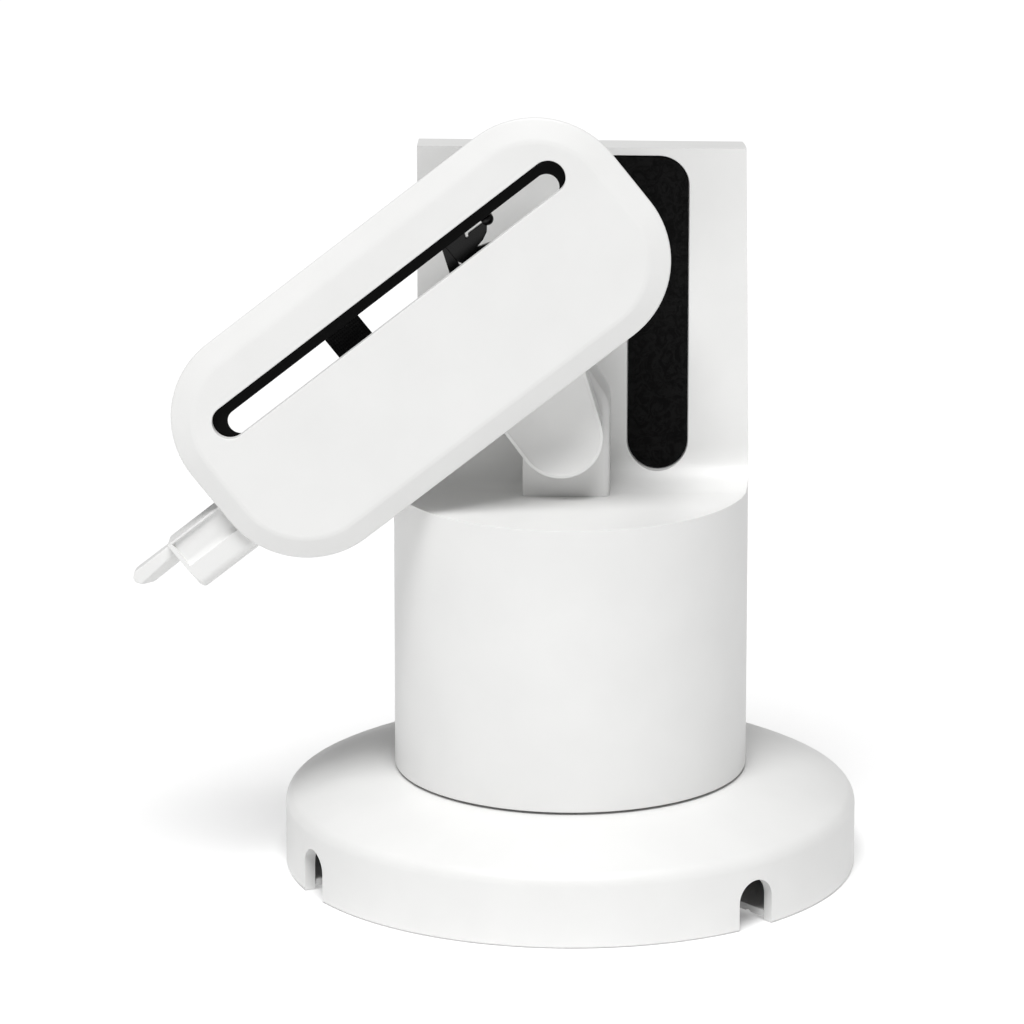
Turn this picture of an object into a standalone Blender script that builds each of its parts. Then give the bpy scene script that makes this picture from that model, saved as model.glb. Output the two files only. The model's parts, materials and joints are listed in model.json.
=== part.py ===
"""Counter-top stand for a card payment terminal.

A weighted disc carries a drum that swivels on it. An upright plate rises from the middle of the
drum, and a pivot block on its front carries an oblong holder that tilts about a level pin. The
holder has a lined slot with a cross strap and a sprung cable latch in it, and a telescopic foot
bracket with a pull-out tongue at its low end.

All sizes below are in millimetres; the model is built in metres, +Z up. The front of the stand
faces -Y, and the origin is where the swivel axis meets the counter.
"""
import math

import bmesh
import bpy
from mathutils import Matrix, Vector

MM = 0.001
GAP = 0.3                     # running and seating clearance between neighbouring pieces

# Base: a crowned disc with a hollow underside
BASE_RADIUS = 90.0
SKIRT_LIFT = 0.3              # the skirt's lower edge stands clear of the counter
BASE_WALL = 3.6
SHOULDER_RADIUS = 57.0        # the flat land that the drum turns on
LAND_HEIGHT = 31.6
CEILING_HEIGHT = 27.6
CROWN_ANGLE = math.radians(28.0)
EDGE_ROUND = 5.0
NOTCH_WIDTH = 13.0
NOTCH_HEIGHT = 15.5
NOTCH_ANGLES = (-151.0, -48.4, 29.0, 131.6)     # degrees from +X, as opposite pairs
COVER_NOTCH_REACH = 36.0      # how far in from the rim the cover is notched for the cable
BOSS_ANGLES = (-99.7, -9.7, 80.3, 170.3)        # midway between the notches
BOSS_CIRCLE = 78.0
FOOT_CIRCLE = 65.0
COVER_LOW, COVER_HIGH = 1.2, 3.4
WEIGHT_INNER, WEIGHT_OUTER = 24.0, 70.0
WEIGHT_LOW, WEIGHT_HIGH = 15.0, 25.0

# Fasteners
SHANK = 1.45                  # radius of an M3 screw or rivet
SHANK_HOLE = 1.8
SMALL_SHANK = 1.2             # radius of the small cover screws
SMALL_HOLE = 1.6

# Swivel
SPINDLE_RADIUS = 9.0
SPINDLE_BORE = 6.5
SPINDLE_FLANGE = 20.0
SPINDLE_LOW, SPINDLE_HIGH = 24.6, 49.0
RACE_INNER, RACE_OUTER, RACE_DEPTH = 36.0, 50.0, 2.0
BUSH_RADIUS = 12.0
DRUM_RADIUS = 55.4
DRUM_WALL = 3.0
DRUM_LOW = LAND_HEIGHT + 0.8
DECK_HEIGHT = 122.7
DECK_THICKNESS = 3.7
HUB_THICKNESS = 4.0
HUB_SCREW_CIRCLE = 48.6
HUB_SCREW_ANGLES = (30.0, 150.0, 270.0)
OUTLET_HEIGHT = 52.0          # the cable outlet in the drum's back

# Upright plate
PLATE_LEFT, PLATE_RIGHT = -48.0, 55.2
PLATE_FRONT, PLATE_BACK = 2.0, 12.5
PLATE_TOP = 230.0
FRONT_FILLET = 12.0
BACK_FILLET = 6.0
POCKET_LEFT, POCKET_RIGHT = -44.0, 51.0
POCKET_LOW, POCKET_TOP = 134.7, 225.0
POCKET_FLOOR = 5.5
INLAY_LEG_X = 26.9            # centre line of the inlay's upright leg
INLAY_HALF_WIDTH = 9.3
INLAY_LOW, INLAY_TOP = 127.6, 227.3
INLAY_BAR_END = 2.0
INLAY_FLOOR = 3.4

# Tilt pivot
PIVOT_X, PIVOT_Z = -2.5, 144.4
PIN_RADIUS = 4.0
PIN_FRONT = -20.7
BLOCK_LEFT, BLOCK_RIGHT, BLOCK_TOP = -14.6, 12.4, 172.0
BLOCK_FRONT = -15.0
BLOCK_SCREWS = ((-10.0, 165.0), (7.0, 157.0))   # x and z

# Holder, in its own frame: u along its long side, v across it, y in depth, from its middle
TILT = math.radians(38.5)
CENTRE_U, CENTRE_V = -11.7, 53.4                # the holder's middle, seen from the pivot
HALF_LENGTH, HALF_HEIGHT, CORNER = 82.5, 39.2, 30.0
HOLDER_FRONT, HOLDER_BEVEL, HOLDER_REAR = -44.0, -41.2, -25.0
BEVEL_WIDTH = 7.0
HOLDER_DRAFT = 4.6            # how far the side wall leans in towards the rear
SHELL_WALL = 2.6
SLOT_LEFT, SLOT_RIGHT = -67.2, 68.2
SLOT_V, SLOT_HALF = 16.0, 5.3
LINER_V, LINER_HALF = 13.65, 3.95
HOLDER_BOSSES = ((-58.0, -27.0), (58.0, -27.0), (58.0, 27.0), (-58.0, 27.0))
EAR_SCREWS = ((12.0, -22.0), (27.0, -18.0))
EAR_HEAD = (19.4, -17.0, 19.8)                  # u, v and radius of the ear's wide end
EAR_RADIUS = 13.3
LATCH_PIVOT = (26.0, 27.0)
LATCH_FRONT, LATCH_REAR = -33.5, -31.7

# Foot bracket, rail and tongue, in the holder's frame from its middle
BRACKET_LEFT, BRACKET_RIGHT = -103.0, -76.0
BRACKET_LOW, BRACKET_HIGH = -21.6, -3.5
BRACKET_FRONT, BRACKET_REAR = -38.6, -27.9
RAIL_LEFT, RAIL_RIGHT = -75.6, -8.0
RAIL_LOW, RAIL_HIGH = -18.0, -8.0
RAIL_FRONT, RAIL_REAR = -31.7, -30.5
RIVETS = ((-72.0, -13.0), (-64.0, -13.0))
TONGUE_LEFT, TONGUE_RIGHT = -119.2, -86.0
TONGUE_LOW, TONGUE_HIGH = -11.3, -4.5
TONGUE_FRONT, TONGUE_REAR = -35.0, -30.0

WHITE = (0.86, 0.86, 0.85, 1.0)
BLACK = (0.012, 0.012, 0.013, 1.0)
STEEL = (0.55, 0.56, 0.57, 1.0)
RUBBER = (0.03, 0.03, 0.03, 1.0)
BRASS = (0.62, 0.47, 0.22, 1.0)
NATURAL = (0.78, 0.77, 0.72, 1.0)


def clear_scene():
    """Remove whatever the scene starts with."""
    for item in list(bpy.data.objects):
        bpy.data.objects.remove(item, do_unlink=True)


def finish(name, bm, colour, roughness=0.45, metallic=0.0, place=None):
    """Turn a bmesh in millimetres into a named object in metres with its own material."""
    bmesh.ops.recalc_face_normals(bm, faces=bm.faces[:])
    mesh = bpy.data.meshes.new(name)
    bmesh.ops.scale(bm, vec=(MM, MM, MM), verts=bm.verts[:])
    bm.to_mesh(mesh)
    bm.free()
    mesh.shade_smooth()
    mesh.set_sharp_from_angle(angle=math.radians(35.0))
    item = bpy.data.objects.new(name, mesh)
    bpy.context.collection.objects.link(item)
    if place is not None:
        item.matrix_world = place
    material = bpy.data.materials.new(name)
    material.use_nodes = True
    shader = material.node_tree.nodes["Principled BSDF"]
    shader.inputs["Base Color"].default_value = colour
    shader.inputs["Roughness"].default_value = roughness
    shader.inputs["Metallic"].default_value = metallic
    mesh.materials.append(material)
    return item


def boolean(target, tool, operation="DIFFERENCE"):
    """Cut a tool out of a target, or join it on, and leave the tool as a hidden guide."""
    tool.hide_render = True
    tool.display_type = 'WIRE'
    modifier = target.modifiers.new(tool.name, 'BOOLEAN')
    modifier.operation = operation
    modifier.object = tool


def loft(rings, closed=False):
    """A solid skinned over rings of equal length, capped at both ends or closed on itself."""
    bm = bmesh.new()
    loops = [[bm.verts.new(point) for point in ring] for ring in rings]
    pairs = list(zip(loops, loops[1:]))
    if closed:
        pairs.append((loops[-1], loops[0]))
    for low, high in pairs:
        for i, corner in enumerate(low):
            j = (i + 1) % len(low)
            bm.faces.new((corner, low[j], high[j], high[i]))
    if not closed:
        bm.faces.new(loops[0])
        bm.faces.new(loops[-1])
    return bm


def circle(radius, segments):
    """Points of a circle about the origin."""
    turns = [2.0 * math.pi * i / segments for i in range(segments)]
    return [(radius * math.cos(a), radius * math.sin(a)) for a in turns]


def upright_rings(profile, segments, centre=(0.0, 0.0)):
    """Level circles about a vertical axis, from (radius, height) pairs."""
    return [[(centre[0] + a, centre[1] + b, z) for a, b in circle(r, segments)]
            for r, z in profile]


def level_rings(profile, segments, centre):
    """Circles about an axis along Y through (x, z), from (radius, y) pairs."""
    return [[(centre[0] + a, y, centre[1] + b) for a, b in circle(r, segments)]
            for r, y in profile]


def turned(profile, segments):
    """A ring turned about the swivel axis from a closed (radius, height) profile."""
    return loft(upright_rings(profile, segments), closed=True)


def upright_bar(steps, segments, centre):
    """A stepped round bar standing upright, from (radius, height) pairs."""
    return loft(upright_rings(steps, segments, centre))


def disc(radius, low, high, segments, centre=(0.0, 0.0)):
    """An upright round bar or disc."""
    return upright_bar(((radius, low), (radius, high)), segments, centre)


def stepped_bar(steps, segments, centre):
    """A round bar along Y through (x, z), from (radius, y) steps, capped at both ends."""
    return loft(level_rings(steps, segments, centre))


def bore(radius, near, far, segments, centre):
    """A plain round cutter along Y through (x, z)."""
    return stepped_bar(((radius, near), (radius, far)), segments, centre)


def ring_along_y(inner, outer, near, far, segments, centre):
    """A washer or bush about a level axis along Y through (x, z)."""
    profile = ((inner, near), (outer, near), (outer, far), (inner, far))
    return loft(level_rings(profile, segments, centre), closed=True)


def hexagon_radius(half_width, angle):
    """How far a hexagon's side lies from its middle at an angle, in radians."""
    return half_width / math.cos(angle % (math.pi / 3.0) - math.pi / 6.0)


def hex_nut(bore, half_width, low, high, axis):
    """A hexagonal nut with a round bore, standing along Z or lying along Y."""
    angles = [2.0 * math.pi * i / 24 for i in range(24)]
    rings = []
    for outer, level in ((False, low), (True, low), (True, high), (False, high)):
        ring = []
        for a in angles:
            r = hexagon_radius(half_width, a) if outer else bore
            x, side = r * math.cos(a), r * math.sin(a)
            ring.append((x, side, level) if axis == 'Z' else (x, level, side))
        rings.append(ring)
    return loft(rings, closed=True)


def slab(outline, near, far):
    """An outline in (x, z) or (u, v), extruded in depth from near to far."""
    return loft([[(x, y, z) for x, z in outline] for y in (near, far)])


def box(low, high):
    """A plain block between two corners."""
    outline = ((low[0], low[2]), (high[0], low[2]), (high[0], high[2]), (low[0], high[2]))
    return slab(outline, low[1], high[1])


def arc(cx, cz, radius, start, end, steps):
    """Points of an arc, angles in degrees, both ends included."""
    points = []
    for i in range(steps + 1):
        a = math.radians(start + (end - start) * i / steps)
        points.append((cx + radius * math.cos(a), cz + radius * math.sin(a)))
    return points


def obround(left, right, middle, half, steps=8):
    """A slot outline with round ends, from its left tip to its right tip."""
    return (arc(right - half, middle, half, -90.0, 90.0, steps)
            + arc(left + half, middle, half, 90.0, 270.0, steps))


def rounded_rectangle(half_u, half_v, radius, steps=8, cu=0.0, cv=0.0):
    """A rectangle outline with round corners about a centre."""
    points = []
    for su, sv, start in ((1, -1, -90.0), (1, 1, 0.0), (-1, 1, 90.0), (-1, -1, 180.0)):
        points += arc(cu + su * (half_u - radius), cv + sv * (half_v - radius), radius,
                      start, start + 90.0, steps)
    return points


def hull_of_two(a, b, steps=9):
    """The outline round two circles, each given as x, z and radius."""
    dx, dz = b[0] - a[0], b[1] - a[1]
    heading = math.degrees(math.atan2(dz, dx))
    lean = math.degrees(math.acos((a[2] - b[2]) / math.hypot(dx, dz)))
    return (arc(b[0], b[1], b[2], heading - lean, heading + lean, steps)
            + arc(a[0], a[1], a[2], heading + lean, heading + 360.0 - lean, steps))


def on_circle(radius, angle):
    """A point of a circle about the swivel axis, the angle in degrees."""
    a = math.radians(angle)
    return radius * math.cos(a), radius * math.sin(a)


def tilted(u=0.0, v=0.0):
    """The placing of the holder's frame: origin on the pivot, leaned back to its rest tilt."""
    turn = Matrix.Rotation(-TILT, 4, 'Y')
    return Matrix.Translation(Vector((PIVOT_X, 0.0, PIVOT_Z)) * MM) @ turn @ Matrix.Translation(
        Vector((u, 0.0, v)) * MM)


def from_centre(outline):
    """Shift an outline from the holder's middle to the pivot."""
    return [(u + CENTRE_U, v + CENTRE_V) for u, v in outline]


def holder_box(u_range, v_range, y_range):
    """A block in the holder's frame, its u and v given from the holder's middle."""
    low, high = from_centre(zip(u_range, v_range))
    return box((low[0], y_range[0], low[1]), (high[0], y_range[1], high[1]))


# ---------------------------------------------------------------------------------- base

def crown_points(depth, steps):
    """The crown's arc from the land outwards, at a depth below the outer surface."""
    reach = BASE_RADIUS - EDGE_ROUND * (1.0 - math.sin(CROWN_ANGLE)) - SHOULDER_RADIUS
    outer = reach / math.sin(CROWN_ANGLE)
    angles = [CROWN_ANGLE * i / steps for i in range(steps + 1)]
    return [(SHOULDER_RADIUS + (outer - depth) * math.sin(a),
             LAND_HEIGHT - outer + (outer - depth) * math.cos(a)) for a in angles]


def make_base_shell():
    """The crowned white casing with four cable arches and four screw bosses."""
    outer = crown_points(0.0, 5)
    edge_r, edge_z = outer[-1]
    round_z = edge_z - EDGE_ROUND * math.cos(CROWN_ANGLE)
    rounding = arc(BASE_RADIUS - EDGE_ROUND, round_z, EDGE_ROUND,
                   90.0 - math.degrees(CROWN_ANGLE), 0.0, 4)[1:]
    inner_radius = BASE_RADIUS - BASE_WALL
    inner = [(r, z) for r, z in crown_points(LAND_HEIGHT - CEILING_HEIGHT, 5)
             if r < inner_radius - 1.0]
    profile = outer + rounding + [(BASE_RADIUS, SKIRT_LIFT), (inner_radius, SKIRT_LIFT),
                                  (inner_radius, inner[-1][1] - 2.0)]
    profile += list(reversed(inner))
    spindle_hole = SPINDLE_RADIUS + GAP
    profile += [(spindle_hole, CEILING_HEIGHT), (spindle_hole, LAND_HEIGHT),
                (RACE_INNER, LAND_HEIGHT), (RACE_INNER, LAND_HEIGHT - RACE_DEPTH),
                (RACE_OUTER, LAND_HEIGHT - RACE_DEPTH), (RACE_OUTER, LAND_HEIGHT)]
    shell = finish("base_shell", turned(profile, 64), WHITE, 0.42)
    for i, angle in enumerate(BOSS_ANGLES):
        x, y = on_circle(BOSS_CIRCLE, angle)
        boss = finish(f"guide_base_boss_{i}", disc(4.0, COVER_HIGH + GAP, 25.0, 10, (x, y)), WHITE)
        boolean(shell, boss, 'UNION')
        hole = finish(f"guide_base_hole_{i}", disc(SHANK_HOLE, 1.0, 16.0, 8, (x, y)), WHITE)
        boolean(shell, hole)
    for i, angle in enumerate(NOTCH_ANGLES):
        boolean(shell, make_notch_tool(i, angle))
    return shell


def make_notch_tool(index, angle, reach=9.0):
    """An arch-shaped cutter that runs out through the skirt from a reach inside it."""
    half = NOTCH_WIDTH / 2.0
    outline = [(-half, -2.0), (half, -2.0)] + arc(0.0, NOTCH_HEIGHT - half, half, 0.0, 180.0, 8)
    turn = Matrix.Rotation(math.radians(angle + 90.0), 4, 'Z')
    return finish(f"guide_notch_{index}", slab(outline, -BASE_RADIUS - 3.0, -BASE_RADIUS + reach),
                  WHITE, place=turn)


def make_base_inside():
    """The steel weight, the bottom cover with its screws, and the rubber feet."""
    ring = ((WEIGHT_INNER, WEIGHT_LOW), (WEIGHT_OUTER, WEIGHT_LOW),
            (WEIGHT_OUTER, WEIGHT_HIGH), (WEIGHT_INNER, WEIGHT_HIGH))
    finish("counterweight", turned(ring, 40), STEEL, 0.5, 1.0)
    cover = finish("base_cover", disc(BASE_RADIUS - BASE_WALL - GAP, COVER_LOW, COVER_HIGH, 48),
                   WHITE, 0.42)
    for i, angle in enumerate(NOTCH_ANGLES):
        boolean(cover, make_notch_tool(f"cover_{i}", angle, COVER_NOTCH_REACH))
    for i, angle in enumerate(BOSS_ANGLES):
        x, y = on_circle(BOSS_CIRCLE, angle)
        hole = finish(f"guide_cover_hole_{i}", disc(1.9, 0.0, 5.0, 8, (x, y)), WHITE)
        boolean(cover, hole)
        steps = ((3.0, 0.25), (3.0, 0.9), (SHANK, 0.9), (SHANK, 14.0))
        finish(f"base_screw_{i + 1}", upright_bar(steps, 10, (x, y)), STEEL, 0.35, 1.0)
        fx, fy = on_circle(FOOT_CIRCLE, angle)
        finish(f"foot_{i + 1}", disc(8.0, 0.0, COVER_LOW - GAP, 20, (fx, fy)), RUBBER, 0.9)
    finish("centre_foot", disc(12.0, 0.0, COVER_LOW - GAP, 24), RUBBER, 0.9)


# -------------------------------------------------------------------------------- swivel

def make_swivel():
    """The hollow spindle, its washers, bush and nut, and the drum's hub plate."""
    flange_top = CEILING_HEIGHT - GAP
    spindle = ((SPINDLE_BORE, SPINDLE_LOW), (SPINDLE_FLANGE, SPINDLE_LOW),
               (SPINDLE_FLANGE, flange_top), (SPINDLE_RADIUS, flange_top),
               (SPINDLE_RADIUS, SPINDLE_HIGH), (SPINDLE_BORE, SPINDLE_HIGH))
    finish("spindle", turned(spindle, 28), STEEL, 0.3, 1.0)
    washer_low, washer_high = LAND_HEIGHT - RACE_DEPTH + GAP, DRUM_LOW - GAP
    washer = ((RACE_INNER + 0.5, washer_low), (RACE_OUTER - 0.5, washer_low),
              (RACE_OUTER - 0.5, washer_high), (RACE_INNER + 0.5, washer_high))
    finish("thrust_washer", turned(washer, 40), NATURAL, 0.4)
    make_hub_plate()
    running = SPINDLE_RADIUS + GAP
    hub_top = DRUM_LOW + HUB_THICKNESS
    bush = ((running, DRUM_LOW), (BUSH_RADIUS, DRUM_LOW), (BUSH_RADIUS, hub_top + 1.6),
            (running, hub_top + 1.6))
    finish("swivel_bush", turned(bush, 28), BRASS, 0.35, 1.0)
    wave = ((running, hub_top + 1.9), (14.0, hub_top + 1.9), (14.0, hub_top + 2.9),
            (running, hub_top + 2.9))
    finish("wave_washer", turned(wave, 28), STEEL, 0.3, 1.0)
    nut = hex_nut(running, 13.0, hub_top + 3.2, hub_top + 10.0, 'Z')
    finish("swivel_nut", nut, STEEL, 0.3, 1.0)


def make_hub_plate():
    """The disc that closes the drum's underside, with three screws up into its bosses."""
    hub_top = DRUM_LOW + HUB_THICKNESS
    inner, outer = BUSH_RADIUS + GAP, DRUM_RADIUS - DRUM_WALL - GAP
    hub = ((inner, DRUM_LOW), (outer, DRUM_LOW), (outer, hub_top), (inner, hub_top))
    plate = finish("hub_plate", turned(hub, 48), BLACK, 0.6)
    for i, angle in enumerate(HUB_SCREW_ANGLES):
        place = on_circle(HUB_SCREW_CIRCLE, angle)
        through = finish(f"guide_hub_hole_{i}", disc(SHANK_HOLE, 30.0, 40.0, 8, place), BLACK)
        sink = finish(f"guide_hub_sink_{i}", disc(3.1, 30.0, DRUM_LOW + 2.4, 12, place), BLACK)
        boolean(plate, through)
        boolean(plate, sink)
        steps = ((2.7, DRUM_LOW + 0.3), (2.7, DRUM_LOW + 2.1), (SHANK, DRUM_LOW + 2.1),
                 (SHANK, DRUM_LOW + 14.0))
        finish(f"hub_screw_{i + 1}", upright_bar(steps, 10, place), STEEL, 0.35, 1.0)


# -------------------------------------------------------------------------- drum and plate

def fillet_outline(edge, radius, side):
    """A cove between the deck and the plate, in (y, z), side -1 in front and +1 behind."""
    cy, cz = edge + side * radius, DECK_HEIGHT + radius
    start = -90.0
    end = 0.0 if side < 0 else -180.0
    points = arc(cy, cz, radius, start, end, 7)
    inside = edge - side * 2.0
    return points + [(inside, cz), (inside, DECK_HEIGHT - 1.0), (cy, DECK_HEIGHT - 1.0)]


def make_fillet(name, edge, radius, side):
    """The cove as a bar along X, trimmed to the drum's round outline."""
    outline = fillet_outline(edge, radius, side)
    low, high = PLATE_LEFT + 0.2, PLATE_RIGHT - 0.2
    bar = finish(name, loft([[(x, y, z) for y, z in outline] for x in (low, high)]), WHITE)
    trim = finish(name + "_trim", disc(DRUM_RADIUS - 0.05, DECK_HEIGHT - 5.0,
                                       DECK_HEIGHT + radius + 5.0, 64), WHITE)
    boolean(bar, trim, 'INTERSECT')
    return bar


def inlay_outline(grow):
    """The hook-shaped inlay: an upright leg whose top turns to the left."""
    r = INLAY_HALF_WIDTH + grow
    top_centre = INLAY_TOP - INLAY_HALF_WIDTH
    bar_centre = INLAY_BAR_END + INLAY_HALF_WIDTH
    points = arc(INLAY_LEG_X, INLAY_LOW + INLAY_HALF_WIDTH, r, 180.0, 360.0, 12)
    points += arc(INLAY_LEG_X, top_centre, r, 0.0, 90.0, 6)
    points += arc(bar_centre, top_centre, r, 90.0, 270.0, 10)
    inner = 3.0
    points += arc(INLAY_LEG_X - r - inner, top_centre - r - inner, inner, 90.0, 0.0, 3)
    return points


def plate_outline():
    """The plate seen from above, with soft front corners."""
    right, left = 2.5, 1.0
    return (arc(PLATE_RIGHT - right, PLATE_FRONT + right, right, -90.0, 0.0, 4)
            + arc(PLATE_RIGHT - right, PLATE_BACK - right, right, 0.0, 90.0, 4)
            + arc(PLATE_LEFT + left, PLATE_BACK - left, left, 90.0, 180.0, 2)
            + arc(PLATE_LEFT + left, PLATE_FRONT + left, left, 180.0, 270.0, 2))


def cover_screw_places():
    """Where the plate's rear cover is screwed down, in its corners."""
    inset = 5.5
    return [(x, z) for x in (POCKET_LEFT + inset, POCKET_RIGHT - inset)
            for z in (POCKET_LOW + inset, POCKET_TOP - inset)]


def make_pedestal_shell():
    """The drum and its upright plate, moulded in one piece."""
    inner = DRUM_RADIUS - DRUM_WALL
    steps = ((inner, DECK_HEIGHT - DECK_THICKNESS), (inner, DRUM_LOW), (DRUM_RADIUS, DRUM_LOW),
             (DRUM_RADIUS, DECK_HEIGHT))
    shell = finish("pedestal_shell", upright_bar(steps, 64, (0.0, 0.0)), WHITE, 0.42)
    outline = plate_outline()
    plate = finish("guide_plate", loft([[(x, y, z) for x, y in outline]
                                        for z in (DECK_HEIGHT - 1.5, PLATE_TOP)]), WHITE)
    boolean(shell, plate, 'UNION')
    boolean(shell, make_fillet("guide_fillet_front", PLATE_FRONT, FRONT_FILLET, -1), 'UNION')
    boolean(shell, make_fillet("guide_fillet_back", PLATE_BACK, BACK_FILLET, 1), 'UNION')
    for i, angle in enumerate(HUB_SCREW_ANGLES):
        place = on_circle(HUB_SCREW_CIRCLE, angle)
        boss = finish(f"guide_drum_boss_{i}",
                      disc(4.6, DRUM_LOW + HUB_THICKNESS + GAP, 62.0, 12, place), WHITE)
        hole = finish(f"guide_drum_hole_{i}", disc(SHANK_HOLE, 30.0, 50.0, 8, place), WHITE)
        boolean(shell, boss, 'UNION')
        boolean(shell, hole)
    cut_plate(shell)
    outlet = finish("guide_outlet", bore(6.0, 46.0, 60.0, 20, (0.0, OUTLET_HEIGHT)), WHITE)
    boolean(shell, outlet)


def cut_plate(shell):
    """The plate's rear pocket and its bosses, the inlay's recess and the holes for the pivot."""
    pocket = finish("guide_pocket", box((POCKET_LEFT, POCKET_FLOOR, POCKET_LOW),
                                        (POCKET_RIGHT, PLATE_BACK + 9.0, POCKET_TOP)), WHITE)
    boolean(shell, pocket)
    for i, place in enumerate(cover_screw_places()):
        boss = finish(f"guide_plate_boss_{i}",
                      bore(3.2, POCKET_FLOOR - 0.8, PLATE_BACK - 2.5, 10, place), WHITE)
        hole = finish(f"guide_plate_hole_{i}",
                      bore(SMALL_HOLE, POCKET_FLOOR + 0.4, PLATE_BACK, 8, place), WHITE)
        boolean(shell, boss, 'UNION')
        boolean(shell, hole)
    recess = finish("guide_recess", slab(inlay_outline(GAP), -20.0, INLAY_FLOOR), WHITE)
    boolean(shell, recess)
    pin_hole = finish("guide_plate_bore", bore(PIN_RADIUS + GAP, 0.0, 8.0, 20,
                                               (PIVOT_X, PIVOT_Z)), WHITE)
    boolean(shell, pin_hole)
    for i, place in enumerate(BLOCK_SCREWS):
        hole = finish(f"guide_block_hole_{i}", bore(SHANK_HOLE, 0.0, 8.0, 8, place), WHITE)
        boolean(shell, hole)


def make_plate_pieces():
    """What is fixed to the plate: the inlay, the rear cover with its screws, and the gland."""
    finish("plate_inlay", slab(inlay_outline(0.0), 2.3, INLAY_FLOOR - GAP), BLACK, 0.8)
    cover_outline = rounded_rectangle((POCKET_RIGHT - POCKET_LEFT) / 2.0 - GAP,
                                      (POCKET_TOP - POCKET_LOW) / 2.0 - GAP, 1.0, 1,
                                      (POCKET_LEFT + POCKET_RIGHT) / 2.0,
                                      (POCKET_LOW + POCKET_TOP) / 2.0)
    cover = finish("plate_cover", slab(cover_outline, PLATE_BACK - 2.2, PLATE_BACK - 0.2), WHITE,
                   0.42)
    for i, place in enumerate(cover_screw_places()):
        hole = finish(f"guide_cover_bore_{i}", bore(SMALL_HOLE, 9.0, 14.0, 8, place), WHITE)
        boolean(cover, hole)
        screw = ((SMALL_SHANK, POCKET_FLOOR + 1.0), (SMALL_SHANK, PLATE_BACK + 0.1),
                 (2.8, PLATE_BACK + 0.1), (2.8, PLATE_BACK + 1.1))
        finish(f"cover_screw_{i + 1}", stepped_bar(screw, 10, place), STEEL, 0.35, 1.0)
    gland = ((3.6, 51.0), (5.7, 51.0), (5.7, 55.9), (8.0, 55.9), (8.0, 57.4), (3.6, 57.4))
    finish("cable_gland", loft(level_rings(gland, 24, (0.0, OUTLET_HEIGHT)), closed=True),
           RUBBER, 0.85)


# --------------------------------------------------------------------------------- pivot

def make_block():
    """The block on the plate's front, cleared over the deck's cove, with its two screws."""
    bottom = DECK_HEIGHT + GAP
    outline = ((BLOCK_LEFT, bottom), (BLOCK_RIGHT, bottom), (BLOCK_RIGHT, 153.6),
               (0.2, BLOCK_TOP), (BLOCK_LEFT, BLOCK_TOP))
    block = finish("pivot_block", slab(outline, BLOCK_FRONT, PLATE_FRONT - GAP), WHITE, 0.42)
    wedge = [(x, y, z) for x in (-20.0, 20.0) for y, z in (
        (PLATE_FRONT - FRONT_FILLET - 0.8, bottom - 1.0), (PLATE_FRONT + 1.0, bottom - 1.0),
        (PLATE_FRONT + 1.0, DECK_HEIGHT + FRONT_FILLET + 1.8))]
    clearing = finish("guide_block_wedge", loft([wedge[:3], wedge[3:]]), WHITE)
    boolean(block, clearing)
    pin_hole = finish("guide_block_bore", bore(PIN_RADIUS + GAP, -18.0, 4.0, 20,
                                               (PIVOT_X, PIVOT_Z)), WHITE)
    boolean(block, pin_hole)
    for i, place in enumerate(BLOCK_SCREWS):
        hole = finish(f"guide_block_thread_{i}", bore(SHANK_HOLE, -10.0, 4.0, 8, place), WHITE)
        boolean(block, hole)
        screw = ((SHANK, -9.0), (SHANK, POCKET_FLOOR + GAP), (2.8, POCKET_FLOOR + GAP),
                 (2.8, POCKET_FLOOR + 2.0))
        finish(f"block_screw_{i + 1}", stepped_bar(screw, 10, place), STEEL, 0.35, 1.0)


def make_pin():
    """The tilt pin with its friction washers, disc spring and nut."""
    pivot = (PIVOT_X, PIVOT_Z)
    hole = PIN_RADIUS + GAP
    finish("friction_washer_front", ring_along_y(hole, 11.0, BLOCK_FRONT - 1.2,
                                                 BLOCK_FRONT - GAP, 24, pivot), NATURAL, 0.5)
    finish("friction_washer_rear", ring_along_y(hole, 9.0, POCKET_FLOOR + GAP,
                                                POCKET_FLOOR + 1.0, 24, pivot), NATURAL, 0.5)
    origin = Matrix.Translation(Vector((PIVOT_X, 0.0, PIVOT_Z)) * MM)
    axis = (0.0, 0.0)
    finish("disc_spring", ring_along_y(hole, 8.0, POCKET_FLOOR + 1.3, POCKET_FLOOR + 2.1, 24,
                                       axis), STEEL, 0.3, 1.0, origin)
    nut = hex_nut(hole, 7.0, POCKET_FLOOR + 2.4, POCKET_FLOOR + 4.4, 'Y')
    finish("pivot_nut", nut, STEEL, 0.3, 1.0, origin)
    finish("pivot_pin", bore(PIN_RADIUS, PIN_FRONT, POCKET_FLOOR + 4.5, 20, axis), STEEL, 0.3, 1.0,
           origin)


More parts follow.
